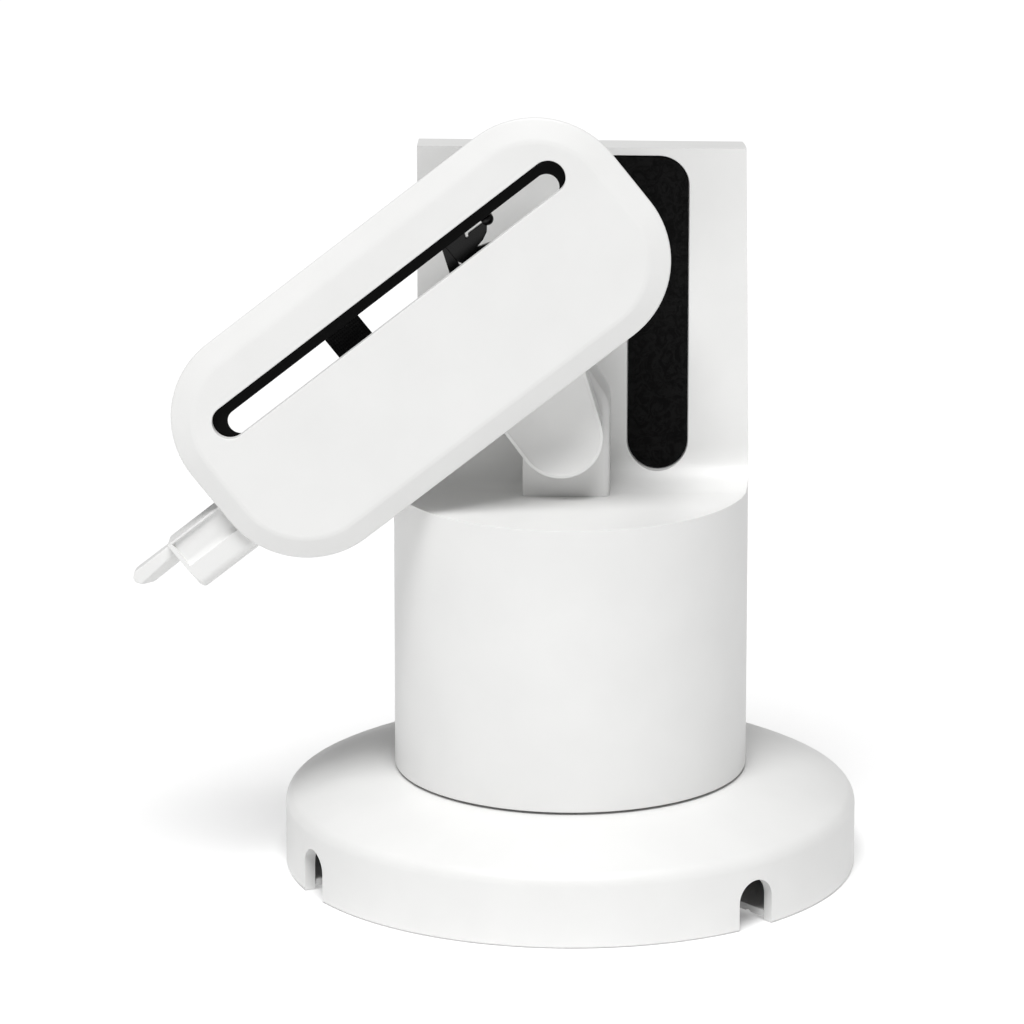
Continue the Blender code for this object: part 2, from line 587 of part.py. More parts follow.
def make_ear():
    """The knuckle that hangs from the holder's back and turns on the pin."""
    wide = (CENTRE_U + EAR_HEAD[0], CENTRE_V + EAR_HEAD[1], EAR_HEAD[2])
    outline = hull_of_two((0.0, 0.0, EAR_RADIUS), wide)
    ear = finish("pivot_ear", slab(outline, HOLDER_REAR + GAP, BLOCK_FRONT - 1.5), WHITE, 0.42,
                 place=tilted())
    socket = finish("guide_ear_socket", bore(PIN_RADIUS + GAP, PIN_FRONT - GAP, -10.0, 20,
                                             (0.0, 0.0)), WHITE, place=tilted())
    boolean(ear, socket)
    for i, (u, v) in enumerate(EAR_SCREWS):
        place = (u + CENTRE_U, v + CENTRE_V)
        hole = finish(f"guide_ear_hole_{i}", bore(SHANK_HOLE, -30.0, -19.0, 8, place), WHITE,
                      place=tilted())
        boolean(ear, hole)
        screw = ((3.0, -29.2), (3.0, -27.5), (SHANK, -27.5), (SHANK, -19.4))
        finish(f"ear_screw_{i + 1}", stepped_bar(screw, 10, place), STEEL, 0.35, 1.0, tilted())


# -------------------------------------------------------------------------------- holder

def holder_outline(inset):
    """The holder's oblong outline, drawn in from its outer edge."""
    return from_centre(rounded_rectangle(HALF_LENGTH - inset, HALF_HEIGHT - inset,
                                         CORNER - inset, 9))


def make_holder_shell():
    """The front casing: a shallow tray with a broad bevel and a long slot."""
    steps = ((BEVEL_WIDTH, HOLDER_FRONT), (0.0, HOLDER_BEVEL), (HOLDER_DRAFT, HOLDER_REAR),
             (SHELL_WALL + HOLDER_DRAFT, HOLDER_REAR), (SHELL_WALL, HOLDER_BEVEL + 1.6),
             (BEVEL_WIDTH + 1.0, HOLDER_FRONT + 2.8))
    rings = [[(u, y, v) for u, v in holder_outline(inset)] for inset, y in steps]
    shell = finish("holder_shell", loft(rings), WHITE, 0.42, place=tilted())
    for i, place in enumerate(from_centre(HOLDER_BOSSES)):
        boss = finish(f"guide_holder_boss_{i}", bore(3.0, HOLDER_FRONT + 2.0, -27.6, 10, place),
                      WHITE, place=tilted())
        hole = finish(f"guide_holder_hole_{i}", bore(SMALL_HOLE, -37.0, -26.0, 8, place), WHITE,
                      place=tilted())
        boolean(shell, boss, 'UNION')
        boolean(shell, hole)
    outline = from_centre(obround(SLOT_LEFT, SLOT_RIGHT, SLOT_V, SLOT_HALF))
    slot = finish("guide_slot", slab(outline, -48.0, -38.0), WHITE, place=tilted())
    boolean(shell, slot)
    window = finish("guide_window", holder_box((-HALF_LENGTH - 3.0, -HALF_LENGTH + 20.0),
                                               (BRACKET_LOW - GAP, BRACKET_HIGH + GAP),
                                               (BRACKET_FRONT - GAP, -27.5)),
                    WHITE, place=tilted())
    boolean(shell, window)


def make_holder_inside():
    """The slot's black liner, the back cover with its screws, the cross strap and rail guide."""
    liner = finish("slot_liner", slab(from_centre(obround(-71.2, 72.0, 14.6, 9.2)), -40.9, -39.5),
                   BLACK, 0.5, place=tilted())
    opening = finish("guide_liner_slot", slab(from_centre(obround(-63.6, 64.2, LINER_V,
                                                                  LINER_HALF)), -45.0, -35.0),
                     BLACK, place=tilted())
    boolean(liner, opening)
    back = finish("holder_back", slab(holder_outline(SHELL_WALL + HOLDER_DRAFT + GAP), -27.2,
                                      HOLDER_REAR - 0.2), WHITE, 0.42, place=tilted())
    rear_slot = finish("guide_rear_slot", slab(from_centre(obround(-70.0, 67.0, 11.25, 7.75)),
                                               -30.0, -20.0), WHITE, place=tilted())
    boolean(back, rear_slot)
    for i, place in enumerate(from_centre(HOLDER_BOSSES + EAR_SCREWS)):
        hole = finish(f"guide_back_hole_{i}", bore(SHANK_HOLE, -30.0, -20.0, 8, place), WHITE,
                      place=tilted())
        boolean(back, hole)
    for i, place in enumerate(from_centre(HOLDER_BOSSES)):
        screw = ((SMALL_SHANK, -35.0), (SMALL_SHANK, HOLDER_REAR + 0.1),
                 (2.8, HOLDER_REAR + 0.1), (2.8, HOLDER_REAR + 1.1))
        finish(f"holder_screw_{i + 1}", stepped_bar(screw, 10, place), STEEL, 0.35, 1.0, tilted())
    finish("cross_strap", holder_box((-24.6, -11.8), (-1.0, 31.0), (-33.6, -32.0)), BLACK, 0.7,
           place=tilted())
    guide = finish("rail_guide", holder_box((-40.0, -30.0), (-21.0, -5.0), (-34.0, -27.5)),
                   NATURAL, 0.5, place=tilted())
    window = finish("guide_rail_window", holder_box((-44.0, -26.0),
                                                    (RAIL_LOW - 0.4, RAIL_HIGH + 0.4),
                                                    (RAIL_FRONT - 0.4, RAIL_REAR + 0.4)),
                    NATURAL, place=tilted())
    boolean(guide, window)


def make_latch():
    """The sprung cable latch behind the slot: a hooked plate with a finger knob."""
    outline = [(16.6, 4.0), (21.8, 8.0), (24.4, 8.4), (33.8, 8.2), (35.6, 9.0), (30.4, 10.8),
               (33.4, 11.4), (35.8, 12.6), (37.4, 14.4), (30.6, 15.0), (30.6, 16.4),
               (37.2, 16.6)]
    outline += arc(38.8, 16.2, 1.6, -120.0, 110.0, 6)
    outline += [(35.0, 20.0), (31.0, 28.5)]
    outline += arc(LATCH_PIVOT[0], LATCH_PIVOT[1], 5.0, 20.0, 160.0, 5)
    outline += [(21.6, 24.0), (21.7, 17.0)]
    place = tilted(CENTRE_U + LATCH_PIVOT[0], CENTRE_V + LATCH_PIVOT[1])
    local = [(u - LATCH_PIVOT[0], v - LATCH_PIVOT[1]) for u, v in outline]
    axis = (0.0, 0.0)
    latch = finish("slot_latch", slab(local, LATCH_FRONT, LATCH_REAR), BLACK, 0.45, place=place)
    pin_hole = finish("guide_latch_bore", bore(1.8, -35.0, -30.0, 12, axis), BLACK, place=place)
    boolean(latch, pin_hole)
    pin = ((2.6, -35.0), (2.6, LATCH_FRONT - GAP), (1.5, LATCH_FRONT - GAP), (1.5, -27.5))
    finish("latch_pin", stepped_bar(pin, 12, axis), STEEL, 0.3, 1.0, place)
    finish("latch_spring", ring_along_y(1.8, 3.2, LATCH_REAR + GAP, -28.6, 16, axis), STEEL, 0.3,
           1.0, place)


# --------------------------------------------------------------------------- foot bracket

def make_bracket():
    """The telescopic bracket: a thick block with a tray in front and a tail under the holder."""
    v_range = (BRACKET_LOW, BRACKET_HIGH)
    bracket = finish("foot_bracket", holder_box((BRACKET_LEFT, BRACKET_RIGHT), v_range,
                                                (BRACKET_FRONT, BRACKET_REAR)),
                     WHITE, 0.42, place=tilted())
    tail = finish("guide_tail", holder_box((BRACKET_RIGHT - 4.0, -59.0),
                                           (BRACKET_LOW + 1.0, BRACKET_HIGH - 1.0),
                                           (BRACKET_FRONT + 1.0, RAIL_FRONT - GAP)),
                  WHITE, place=tilted())
    boolean(bracket, tail, 'UNION')
    tray = finish("guide_tray", holder_box((BRACKET_LEFT + 1.8, -84.0),
                                           (-14.0, BRACKET_HIGH - 1.6),
                                           (BRACKET_FRONT - 2.0, BRACKET_FRONT + 2.6)),
                  WHITE, place=tilted())
    boolean(bracket, tray)
    tunnel = finish("guide_tunnel", holder_box((BRACKET_LEFT - 3.0, -78.4),
                                               (TONGUE_LOW - GAP, TONGUE_HIGH + GAP),
                                               (TONGUE_FRONT - GAP, TONGUE_REAR + GAP)),
                    WHITE, place=tilted())
    boolean(bracket, tunnel)
    for i, place in enumerate(from_centre(RIVETS)):
        hole = finish(f"guide_rivet_hole_{i}", bore(SHANK_HOLE, -36.4, -28.0, 8, place), WHITE,
                      place=tilted())
        boolean(bracket, hole)


def make_rail():
    """The steel rail riveted behind the bracket's tail."""
    rail = finish("bracket_rail", holder_box((RAIL_LEFT, RAIL_RIGHT), (RAIL_LOW, RAIL_HIGH),
                                             (RAIL_FRONT, RAIL_REAR)),
                  STEEL, 0.35, 1.0, place=tilted())
    for i, place in enumerate(from_centre(RIVETS)):
        hole = finish(f"guide_rail_hole_{i}", bore(SHANK_HOLE, -33.0, -29.0, 8, place), STEEL,
                      place=tilted())
        boolean(rail, hole)
        head = RAIL_REAR + GAP
        rivet = ((SHANK, -36.0), (SHANK, head), (2.6, head), (2.6, head + 1.0))
        finish(f"rail_rivet_{i + 1}", stepped_bar(rivet, 10, place), STEEL, 0.35, 1.0, tilted())


def make_tongue():
    """The tongue: a flat bar with a round tip and its lower front edge cut back."""
    r = 2.6
    face = (arc(TONGUE_LEFT + r, TONGUE_HIGH - r, r, 90.0, 180.0, 5)
            + [(TONGUE_LEFT + 1.4, TONGUE_LOW + 1.2), (TONGUE_LEFT + 3.2, TONGUE_LOW),
               (TONGUE_RIGHT, TONGUE_LOW), (TONGUE_RIGHT, TONGUE_HIGH)])
    tongue = finish("foot_tongue", slab(from_centre(face), TONGUE_FRONT, TONGUE_REAR), WHITE, 0.42,
                    place=tilted())
    low, high = from_centre(((TONGUE_LEFT - 8.4, TONGUE_LOW - 1.0),
                             (TONGUE_RIGHT + 6.0, TONGUE_LOW + 3.6)))
    wedge = [(u, y, v) for u in (low[0], high[0]) for y, v in (
        (TONGUE_FRONT - 1.0, low[1]), (TONGUE_REAR - 1.0, low[1]), (TONGUE_FRONT - 1.0, high[1]))]
    cut = finish("guide_tongue_wedge", loft([wedge[:3], wedge[3:]]), WHITE, place=tilted())
    boolean(tongue, cut)


def main():
    """Build the whole stand."""
    clear_scene()
    make_base_shell()
    make_base_inside()
    make_swivel()
    make_pedestal_shell()
    make_plate_pieces()
    make_block()
    make_pin()
    make_ear()
    make_holder_shell()
    make_holder_inside()
    make_latch()
    make_bracket()
    make_rail()
    make_tongue()


main()
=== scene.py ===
import json
import math

import bmesh
import bpy
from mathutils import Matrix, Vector


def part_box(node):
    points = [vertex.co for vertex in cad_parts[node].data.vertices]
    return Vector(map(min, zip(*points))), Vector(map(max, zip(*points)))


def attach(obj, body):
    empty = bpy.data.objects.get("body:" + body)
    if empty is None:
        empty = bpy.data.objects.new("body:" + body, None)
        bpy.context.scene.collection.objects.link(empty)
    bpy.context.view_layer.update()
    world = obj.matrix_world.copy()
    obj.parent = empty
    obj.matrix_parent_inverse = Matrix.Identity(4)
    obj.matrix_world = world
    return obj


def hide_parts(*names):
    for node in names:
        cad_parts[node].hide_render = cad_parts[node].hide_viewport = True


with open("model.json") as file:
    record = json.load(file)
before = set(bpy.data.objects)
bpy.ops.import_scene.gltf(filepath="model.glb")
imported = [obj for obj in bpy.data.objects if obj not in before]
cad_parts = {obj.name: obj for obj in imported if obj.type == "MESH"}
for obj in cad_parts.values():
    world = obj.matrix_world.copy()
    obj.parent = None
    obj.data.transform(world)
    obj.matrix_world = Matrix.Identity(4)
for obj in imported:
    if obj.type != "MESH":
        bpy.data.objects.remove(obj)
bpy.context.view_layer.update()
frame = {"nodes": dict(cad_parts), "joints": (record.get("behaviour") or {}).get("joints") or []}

mm = 0.001

# ---- Camera -------------------------------------------------------------------------------
# A long lens, standing a little to the right of the front and looking down at about fifteen
# degrees, so the deck and the disc show as shallow ellipses.
camera_distance, camera_height = 2.1132, 0.6984
camera_bearing, camera_turn = math.radians(2.0), math.radians(2.5)
camera_dip = math.radians(15.47)
camera_data = bpy.data.cameras.new("product_camera")
camera_data.sensor_width = 36.0
camera_data.lens = 246.09
camera_data.clip_end = 50.0
camera = bpy.data.objects.new("product_camera", camera_data)
camera.location = (camera_distance * math.sin(camera_bearing),
                   -camera_distance * math.cos(camera_bearing), camera_height)
camera.rotation_euler = (math.radians(90.0) - camera_dip, 0.0, camera_turn)
bpy.context.scene.collection.objects.link(camera)
bpy.context.scene.camera = camera

# ---- Base casing --------------------------------------------------------------------------
# The crowned disc that stands on the counter: one injection moulding in white ABS with a fine
# spark-eroded grain, hollow underneath, with four arches in its skirt for the cable.
disc_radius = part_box("base_shell")[1].x
skirt_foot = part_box("base_shell")[0].z
land_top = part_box("base_shell")[1].z
land_radius, crown_angle, edge_round = 57 * mm, math.radians(28), 5 * mm
casing_wall, casing_ceiling = 3.6 * mm, 4 * mm
arch_width, arch_height = 13 * mm, 15.5 * mm
arch_reach, notch_reach = 9 * mm, 36 * mm
arch_bearings = (-151.0, -48.4, 29.0, 131.6)


def start(name):
    """Name the primitive that was just added and open it for editing."""
    piece = bpy.context.object
    piece.name = piece.data.name = name
    bpy.ops.object.mode_set(mode="EDIT")
    return piece


def apply_place():
    """Apply the open piece's own place and turn, and go on editing it."""
    bpy.ops.object.mode_set(mode="OBJECT")
    bpy.ops.object.transform_apply(location=True, rotation=True, scale=True)
    bpy.ops.object.mode_set(mode="EDIT")


def reopen(piece):
    """Open a finished piece for editing again."""
    bpy.context.view_layer.objects.active = piece
    piece.select_set(True)
    bpy.ops.object.mode_set(mode="EDIT")


def pick(kind, test):
    """In edit mode, select the vertices, edges or faces that pass a test."""
    bpy.ops.mesh.select_mode(type=kind)
    bpy.ops.mesh.select_all(action="DESELECT")
    mesh = bmesh.from_edit_mesh(bpy.context.object.data)
    for part in {"VERT": mesh.verts, "EDGE": mesh.edges, "FACE": mesh.faces}[kind]:
        part.select_set(bool(test(part)))
    mesh.select_flush_mode()
    bmesh.update_edit_mesh(bpy.context.object.data)


def middle(part):
    """The middle of an edge or a face."""
    return sum((corner.co for corner in part.verts), Vector()) / len(part.verts)


def is_ridge(edge, least=40.0):
    """Whether an edge is an outward corner sharper than an angle in degrees."""
    return edge.is_manifold and edge.calc_face_angle_signed() > math.radians(least)


def runs_along(edge, axis):
    """Whether an edge runs along the x, y or z axis."""
    first, last = edge.verts
    return abs(getattr((first.co - last.co).normalized(), axis)) > 0.9


def round_off(width, steps, test):
    """Round the edges that pass a test, as a milled radius would."""
    pick("EDGE", test)
    bpy.ops.mesh.bevel(offset=width, segments=steps, affect="EDGES", clamp_overlap=True)


def extrude(step):
    """Extrude what is selected, and move it by a step."""
    bpy.ops.mesh.extrude_region_move(TRANSFORM_OT_translate={"value": step})


def close(piece, smooth=32.0):
    """Merge doubles, turn the faces outward and leave edit mode with soft shading."""
    bpy.ops.mesh.select_mode(type="VERT")
    bpy.ops.mesh.select_all(action="SELECT")
    bpy.ops.mesh.remove_doubles(threshold=0.002 * mm)
    bpy.ops.mesh.normals_make_consistent(inside=False)
    bpy.ops.mesh.select_all(action="DESELECT")
    bpy.ops.object.mode_set(mode="OBJECT")
    bpy.ops.object.shade_smooth_by_angle(angle=math.radians(smooth))
    bpy.ops.object.select_all(action="DESELECT")
    return piece


def turned(name, outline, sides=128):
    """A ring drawn through a closed outline of (radius, height) points about the swivel axis."""
    radius, height = outline[0]
    bpy.ops.mesh.primitive_circle_add(vertices=sides, radius=radius, location=(0, 0, height))
    piece = start(name)
    for next_radius, next_height in outline[1:] + outline[:1]:
        rise = (0, 0, next_height - height)
        extrude(rise)
        grow = next_radius / radius
        bpy.ops.transform.resize(value=(grow, grow, 1), center_override=(0, 0, 0))
        radius, height = next_radius, next_height
    bpy.context.object.select_set(True)
    apply_place()
    return close(piece)


def cut(piece, tool, operation="DIFFERENCE"):
    """Leave edit mode, cut with a tool or join it on, and throw the tool away."""
    if bpy.context.mode != "OBJECT":
        bpy.ops.object.mode_set(mode="OBJECT")
    bpy.ops.object.select_all(action="DESELECT")
    bpy.context.view_layer.objects.active = piece
    piece.select_set(True)
    joint = piece.modifiers.new("cut", "BOOLEAN")
    joint.operation, joint.object = operation, tool
    bpy.ops.object.modifier_apply(modifier="cut")
    bpy.data.objects.remove(tool)


def cut_at(piece, tool, bearing):
    """Turn a cutter about the swivel axis to a bearing in degrees, and cut with it."""
    bpy.ops.object.mode_set(mode="OBJECT")
    tool.rotation_euler = (0, 0, math.radians(bearing))
    bpy.context.view_layer.update()
    cut(piece, tool)


def block(name, low, high):
    """A rectangular blank between two corners, left open for editing."""
    low, high = Vector(low), Vector(high)
    bpy.ops.mesh.primitive_cube_add(size=1, location=(low + high) / 2)
    piece = start(name)
    bpy.ops.transform.resize(value=high - low, center_override=(low + high) / 2)
    apply_place()
    return piece


def bend(centre, radius, first, last, steps):
    """Points of an arc in an outline, with angles in degrees."""
    angles = [math.radians(first + (last - first) * i / steps) for i in range(steps + 1)]
    return [(centre[0] + radius * math.cos(a), centre[1] + radius * math.sin(a)) for a in angles]


crown_radius = (disc_radius - edge_round * (1 - math.sin(crown_angle)) - land_radius) \
    / math.sin(crown_angle)
crown_centre = (land_radius, land_top - crown_radius)
crown_end = 90 - math.degrees(crown_angle)
crown = bend(crown_centre, crown_radius, 90, crown_end, 20)
edge_centre = (disc_radius - edge_round, crown[-1][1] - edge_round * math.cos(crown_angle))
inner_wall = disc_radius - casing_wall
ceiling = [p for p in bend(crown_centre, crown_radius - casing_ceiling, 90, crown_end, 20)
           if p[0] < inner_wall - 1 * mm]
casing_outline = crown + bend(edge_centre, edge_round, crown_end, 0, 8)[1:] + [
    (disc_radius, skirt_foot + 0.5 * mm), (disc_radius - 0.5 * mm, skirt_foot),
    (inner_wall, skirt_foot), (inner_wall, ceiling[-1][1] - 2 * mm)]
casing_outline += ceiling[::-1]
casing_outline += [(9.3 * mm, land_top - casing_ceiling), (9.3 * mm, land_top),
                   (36 * mm, land_top), (36 * mm, land_top - 2 * mm),
                   (50 * mm, land_top - 2 * mm), (50 * mm, land_top)]
base_casing = turned("base_casing", casing_outline, 160)

for bearing in arch_bearings:
    arch_tool = block("arch_tool", (disc_radius - arch_reach, -arch_width / 2, -3 * mm),
                      (disc_radius + 4 * mm, arch_width / 2, arch_height))
    round_off(arch_width / 2 - 0.02 * mm, 12,
              lambda e: middle(e).z > arch_height - 0.1 * mm and abs(middle(e).y) > 1 * mm)
    cut_at(base_casing, arch_tool, bearing)


def on_arch_mouth(edge):
    """An edge where an arch meets the skirt's outer face."""
    outside = all(Vector(v.co.xy).length > disc_radius - 0.4 * mm for v in edge.verts)
    return outside and is_ridge(edge, 30) and 2 * mm < max(v.co.z for v in edge.verts) \
        < arch_height + 0.5 * mm


bpy.ops.object.mode_set(mode="EDIT")
round_off(0.9 * mm, 3, on_arch_mouth)
close(base_casing, 28)


def preset(node, **values):
    """Set a shader node's inputs, whose names have an underscore here for each space."""
    for name, value in values.items():
        node.inputs[name.replace("_", " ")].default_value = value


def add_node(nodes, kind, **values):
    """Add a shader node and set its inputs."""
    node = nodes.new("ShaderNode" + kind)
    preset(node, **values)
    return node


def new_material(name, **values):
    """A new material with its nodes, its links and its shader, whose inputs are set."""
    material = bpy.data.materials.new(name)
    material.use_nodes = True
    tree = material.node_tree
    shader = tree.nodes["Principled BSDF"]
    preset(shader, **values)
    return material, tree.nodes, tree.links, shader


def wire(links, *routes):
    """Link shader nodes: each route is a node, its output, the next node and its input."""
    for source, output, target, entry in routes:
        links.new(source.outputs[output], target.inputs[entry])


def make_fine_grain():
    """The spark-eroded skin of a moulding: a fine bump, and faint drifts of tone and gloss."""
    group = bpy.data.node_groups.new("moulded_skin", "ShaderNodeTree")
    for label, kind, value in (("Colour", "NodeSocketColor", (0.8, 0.8, 0.8, 1)),
                               ("Tone drift", "NodeSocketFloat", 0.03),
                               ("Roughness", "NodeSocketFloat", 0.4),
                               ("Gloss drift", "NodeSocketFloat", 0.06),
                               ("Grain per metre", "NodeSocketFloat", 4000.0),
                               ("Grain depth", "NodeSocketFloat", 0.15)):
        socket = group.interface.new_socket(name=label, in_out="INPUT", socket_type=kind)
        socket.default_value = value
    for label, kind in (("Colour", "NodeSocketColor"), ("Roughness", "NodeSocketFloat"),
                        ("Normal", "NodeSocketVector")):
        group.interface.new_socket(name=label, in_out="OUTPUT", socket_type=kind)
    nodes, links = group.nodes, group.links
    given, result = nodes.new("NodeGroupInput"), nodes.new("NodeGroupOutput")
    place = add_node(nodes, "TexCoord")

    drift = add_node(nodes, "TexNoise", Scale=45.0, Detail=4.0)
    wire(links, (place, "Object", drift, "Vector"))
    tone = add_node(nodes, "MapRange", From_Min=0.3, From_Max=0.7)
    darkest = add_node(nodes, "Math")
    darkest.operation = "SUBTRACT"
    darkest.inputs[0].default_value = 1.0
    wire(links, (given, "Tone drift", darkest, 1), (drift, "Fac", tone, "Value"),
         (darkest, 0, tone, "To Min"))
    colour = add_node(nodes, "VectorMath")
    colour.operation = "SCALE"
    wire(links, (given, "Colour", colour, 0), (tone, "Result", colour, "Scale"),
         (colour, "Vector", result, "Colour"))

    smear = add_node(nodes, "TexNoise", Scale=160.0, Detail=6.0)
    wire(links, (place, "Object", smear, "Vector"))
    centred = add_node(nodes, "Math")
    centred.operation = "SUBTRACT"
    centred.inputs[1].default_value = 0.5
    gloss = add_node(nodes, "Math")
    gloss.operation = "MULTIPLY_ADD"
    wire(links, (smear, "Fac", centred, 0), (centred, 0, gloss, 0),
         (given, "Gloss drift", gloss, 1), (given, "Roughness", gloss, 2),
         (gloss, 0, result, "Roughness"))

    grain = add_node(nodes, "TexNoise", Detail=3.0)
    wire(links, (place, "Object", grain, "Vector"), (given, "Grain per metre", grain, "Scale"))
    bump = add_node(nodes, "Bump", Distance=0.02 * mm)
    wire(links, (grain, "Fac", bump, "Height"), (given, "Grain depth", bump, "Strength"),
         (bump, "Normal", result, "Normal"))
    return group


moulded_skin = make_fine_grain()


def moulded(name, colour, roughness, tone_drift=0.03, grain=4000.0, depth=0.15, specular=0.5):
    """A moulded plastic or rubber with its own colour and grain."""
    material, nodes, links, shader = new_material(name, Specular_IOR_Level=specular)
    skin = nodes.new("ShaderNodeGroup")
    skin.node_tree = moulded_skin
    preset(skin, Colour=(*colour, 1), Tone_drift=tone_drift, Roughness=roughness,
           Grain_per_metre=grain, Grain_depth=depth)
    wire(links, (skin, "Colour", shader, "Base Color"), (skin, "Roughness", shader, "Roughness"),
         (skin, "Normal", shader, "Normal"))
    return material


def dress(piece, material):
    """Give a piece one material."""
    piece.data.materials.clear()
    piece.data.materials.append(material)
    for face in piece.data.polygons:
        face.material_index = 0


def fit(piece, body, slot, material, *nodes):
    """Shade a finished piece by its broad faces and hang it on its body."""
    bpy.context.view_layer.objects.active = piece
    bpy.ops.object.modifier_add(type="WEIGHTED_NORMAL")
    piece.modifiers[-1].keep_sharp = True
    bpy.ops.object.modifier_apply(modifier=piece.modifiers[-1].name)
    dress(piece, material)
    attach(piece, body)
    if nodes:
        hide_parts(*nodes)


white_plastic = moulded("white_plastic", (0.83, 0.83, 0.822), 0.42)
fit(base_casing, "base", "white_plastic", white_plastic, "base_shell")

# ---- Underside ----------------------------------------------------------------------------
# A white moulded cover closes the casing's hollow, notched where the arches are. Four pan-head
# screws hold it, and five rubber pads stuck to it carry the stand.
pad_rubber = moulded("pad_rubber", (0.028, 0.028, 0.028), 0.82, tone_drift=0.25, grain=2500.0,
                     depth=0.5)
cover_low, cover_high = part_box("base_cover")[0].z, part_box("base_cover")[1].z
cover_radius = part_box("base_cover")[1].x
screw_circle = 78 * mm
screw_bearings = (-99.7, -9.7, 80.3, 170.3)


def disc_blank(name, radius, low, high, centre=(0.0, 0.0), sides=64):
    """An upright round blank, left open for editing."""
    bpy.ops.mesh.primitive_cylinder_add(vertices=sides, radius=radius, depth=high - low,
                                        location=(*centre, (low + high) / 2))
    piece = start(name)
    apply_place()
    return piece


def spot(radius, bearing):
    """A point of a circle about the swivel axis."""
    return (radius * math.cos(math.radians(bearing)), radius * math.sin(math.radians(bearing)))


def drill(piece, radius, low, high, centre, sides=24):
    """Drill an upright hole."""
    cut(piece, disc_blank("drill", radius, low, high, centre, sides))


underside = disc_blank("underside_cover", cover_radius, cover_low, cover_high, sides=128)
pick("FACE", lambda f: f.normal.z < -0.9)
for margin, depth in ((6 * mm, 0), (0.6 * mm, -0.5 * mm), (1.2 * mm, 0), (0.6 * mm, 0.5 * mm)):
    bpy.ops.mesh.inset(thickness=margin, depth=depth)
round_off(0.3 * mm, 2, lambda e: is_ridge(e) and Vector(middle(e).xy).length > cover_radius - mm)
close(underside)
for bearing in screw_bearings:
    drill(underside, 1.9 * mm, -1 * mm, 5 * mm, spot(screw_circle, bearing))
for bearing in arch_bearings:
    notch_tool = block("notch_tool", (disc_radius - notch_reach, -arch_width / 2, -3 * mm),
                       (disc_radius, arch_width / 2, 8 * mm))
    cut_at(underside, notch_tool, bearing)
fit(underside, "base", "white_plastic", white_plastic, "base_cover")

for node in ("foot_1", "foot_2", "foot_3", "foot_4", "centre_foot"):
    low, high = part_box(node)
    centre = (low + high) / 2
    pad = disc_blank(node + "_pad", (high.x - low.x) / 2, low.z, high.z, centre.xy, 48)
    pick("FACE", lambda f: f.normal.z < -0.9)
    bpy.ops.mesh.inset(thickness=1.5 * mm)
    bpy.ops.mesh.inset(thickness=0.4 * mm, depth=-0.25 * mm)
    round_off(0.3 * mm, 3, lambda e: is_ridge(e) and middle(e).z < low.z + 0.05 * mm
              and Vector((middle(e) - centre).xy).length > (high.x - low.x) / 2 - 0.3 * mm)
    fit(close(pad), "base", "rubber", pad_rubber, node)

# ---- Screws -------------------------------------------------------------------------------
# Zinc-plated pan-head screws with a cross recess. One of each size is modelled with its head
# up, and each place gets a copy of it with its own mesh.
def satin_steel(name, colour, roughness, stretch):
    """Plated or turned metal: fine streaks along one direction vary its gloss and tone."""
    material, nodes, links, shader = new_material(name, Metallic=1.0)
    place = add_node(nodes, "TexCoord")
    turn = add_node(nodes, "Mapping", Scale=stretch)
    streaks = add_node(nodes, "TexNoise", Scale=900.0, Detail=5.0)
    gloss = add_node(nodes, "MapRange", To_Min=roughness - 0.08, To_Max=roughness + 0.12)
    tone = add_node(nodes, "MapRange", To_Min=0.85, To_Max=1.08)
    shade = add_node(nodes, "VectorMath")
    shade.operation = "SCALE"
    shade.inputs[0].default_value = colour
    bump = add_node(nodes, "Bump", Strength=0.2, Distance=0.01 * mm)
    wire(links, (place, "Object", turn, "Vector"), (turn, "Vector", streaks, "Vector"),
         (streaks, "Fac", gloss, "Value"), (streaks, "Fac", tone, "Value"),
         (streaks, "Fac", bump, "Height"), (tone, "Result", shade, "Scale"),
         (shade, "Vector", shader, "Base Color"), (gloss, "Result", shader, "Roughness"),
         (bump, "Normal", shader, "Normal"))
    return material


screw_steel = satin_steel("screw_steel", (0.62, 0.63, 0.65), 0.3, (1, 1, 1))


def make_screw(name, head_radius, head_height, shank_radius, length):
    """A pan-head screw with its head up, the underside of the head at the origin."""
    head = disc_blank(name, head_radius, 0, head_height, sides=32)
    pick("FACE", lambda f: f.normal.z < -0.9)
    bpy.ops.mesh.inset(thickness=head_radius - shank_radius)
    extrude((0, 0, -length))
    round_off(head_height * 0.55, 5, lambda e: is_ridge(e) and middle(e).z > head_height * 0.9)
    round_off(0.25 * mm, 1, lambda e: is_ridge(e) and middle(e).z < -length * 0.95)
    close(head)
    arm, width = head_radius * 0.55, 0.45 * mm
    for across in (False, True):
        reach = (width, arm) if across else (arm, width)
        slit = block("cross", (-reach[0], -reach[1], head_height * 0.4),
                     (reach[0], reach[1], head_height * 2))
        cut(head, slit)
    return head


def apply_turn(piece):
    """Apply a finished piece's own turn and place."""
    bpy.ops.object.select_all(action="DESELECT")
    piece.select_set(True)
    bpy.context.view_layer.objects.active = piece
    bpy.ops.object.transform_apply(location=True, rotation=True, scale=True)
    bpy.ops.object.select_all(action="DESELECT")
    return piece


def place_copy(pattern, name, place, direction, turn=0.0):
    """A copy of a pattern with its own mesh: its +Z turned to a direction, and set in place."""
    copy = bpy.data.objects.new(name, pattern.data.copy())
    copy.data.name = name
    bpy.context.scene.collection.objects.link(copy)
    copy.rotation_mode = "QUATERNION"
    upright = Vector((0, 0, 1)).rotation_difference(Vector(direction))
    copy.rotation_quaternion = upright @ Vector((1, 0, 0)).rotation_difference(
        Vector((math.cos(turn), math.sin(turn), 0)))
    copy.location = place
    return apply_turn(copy)


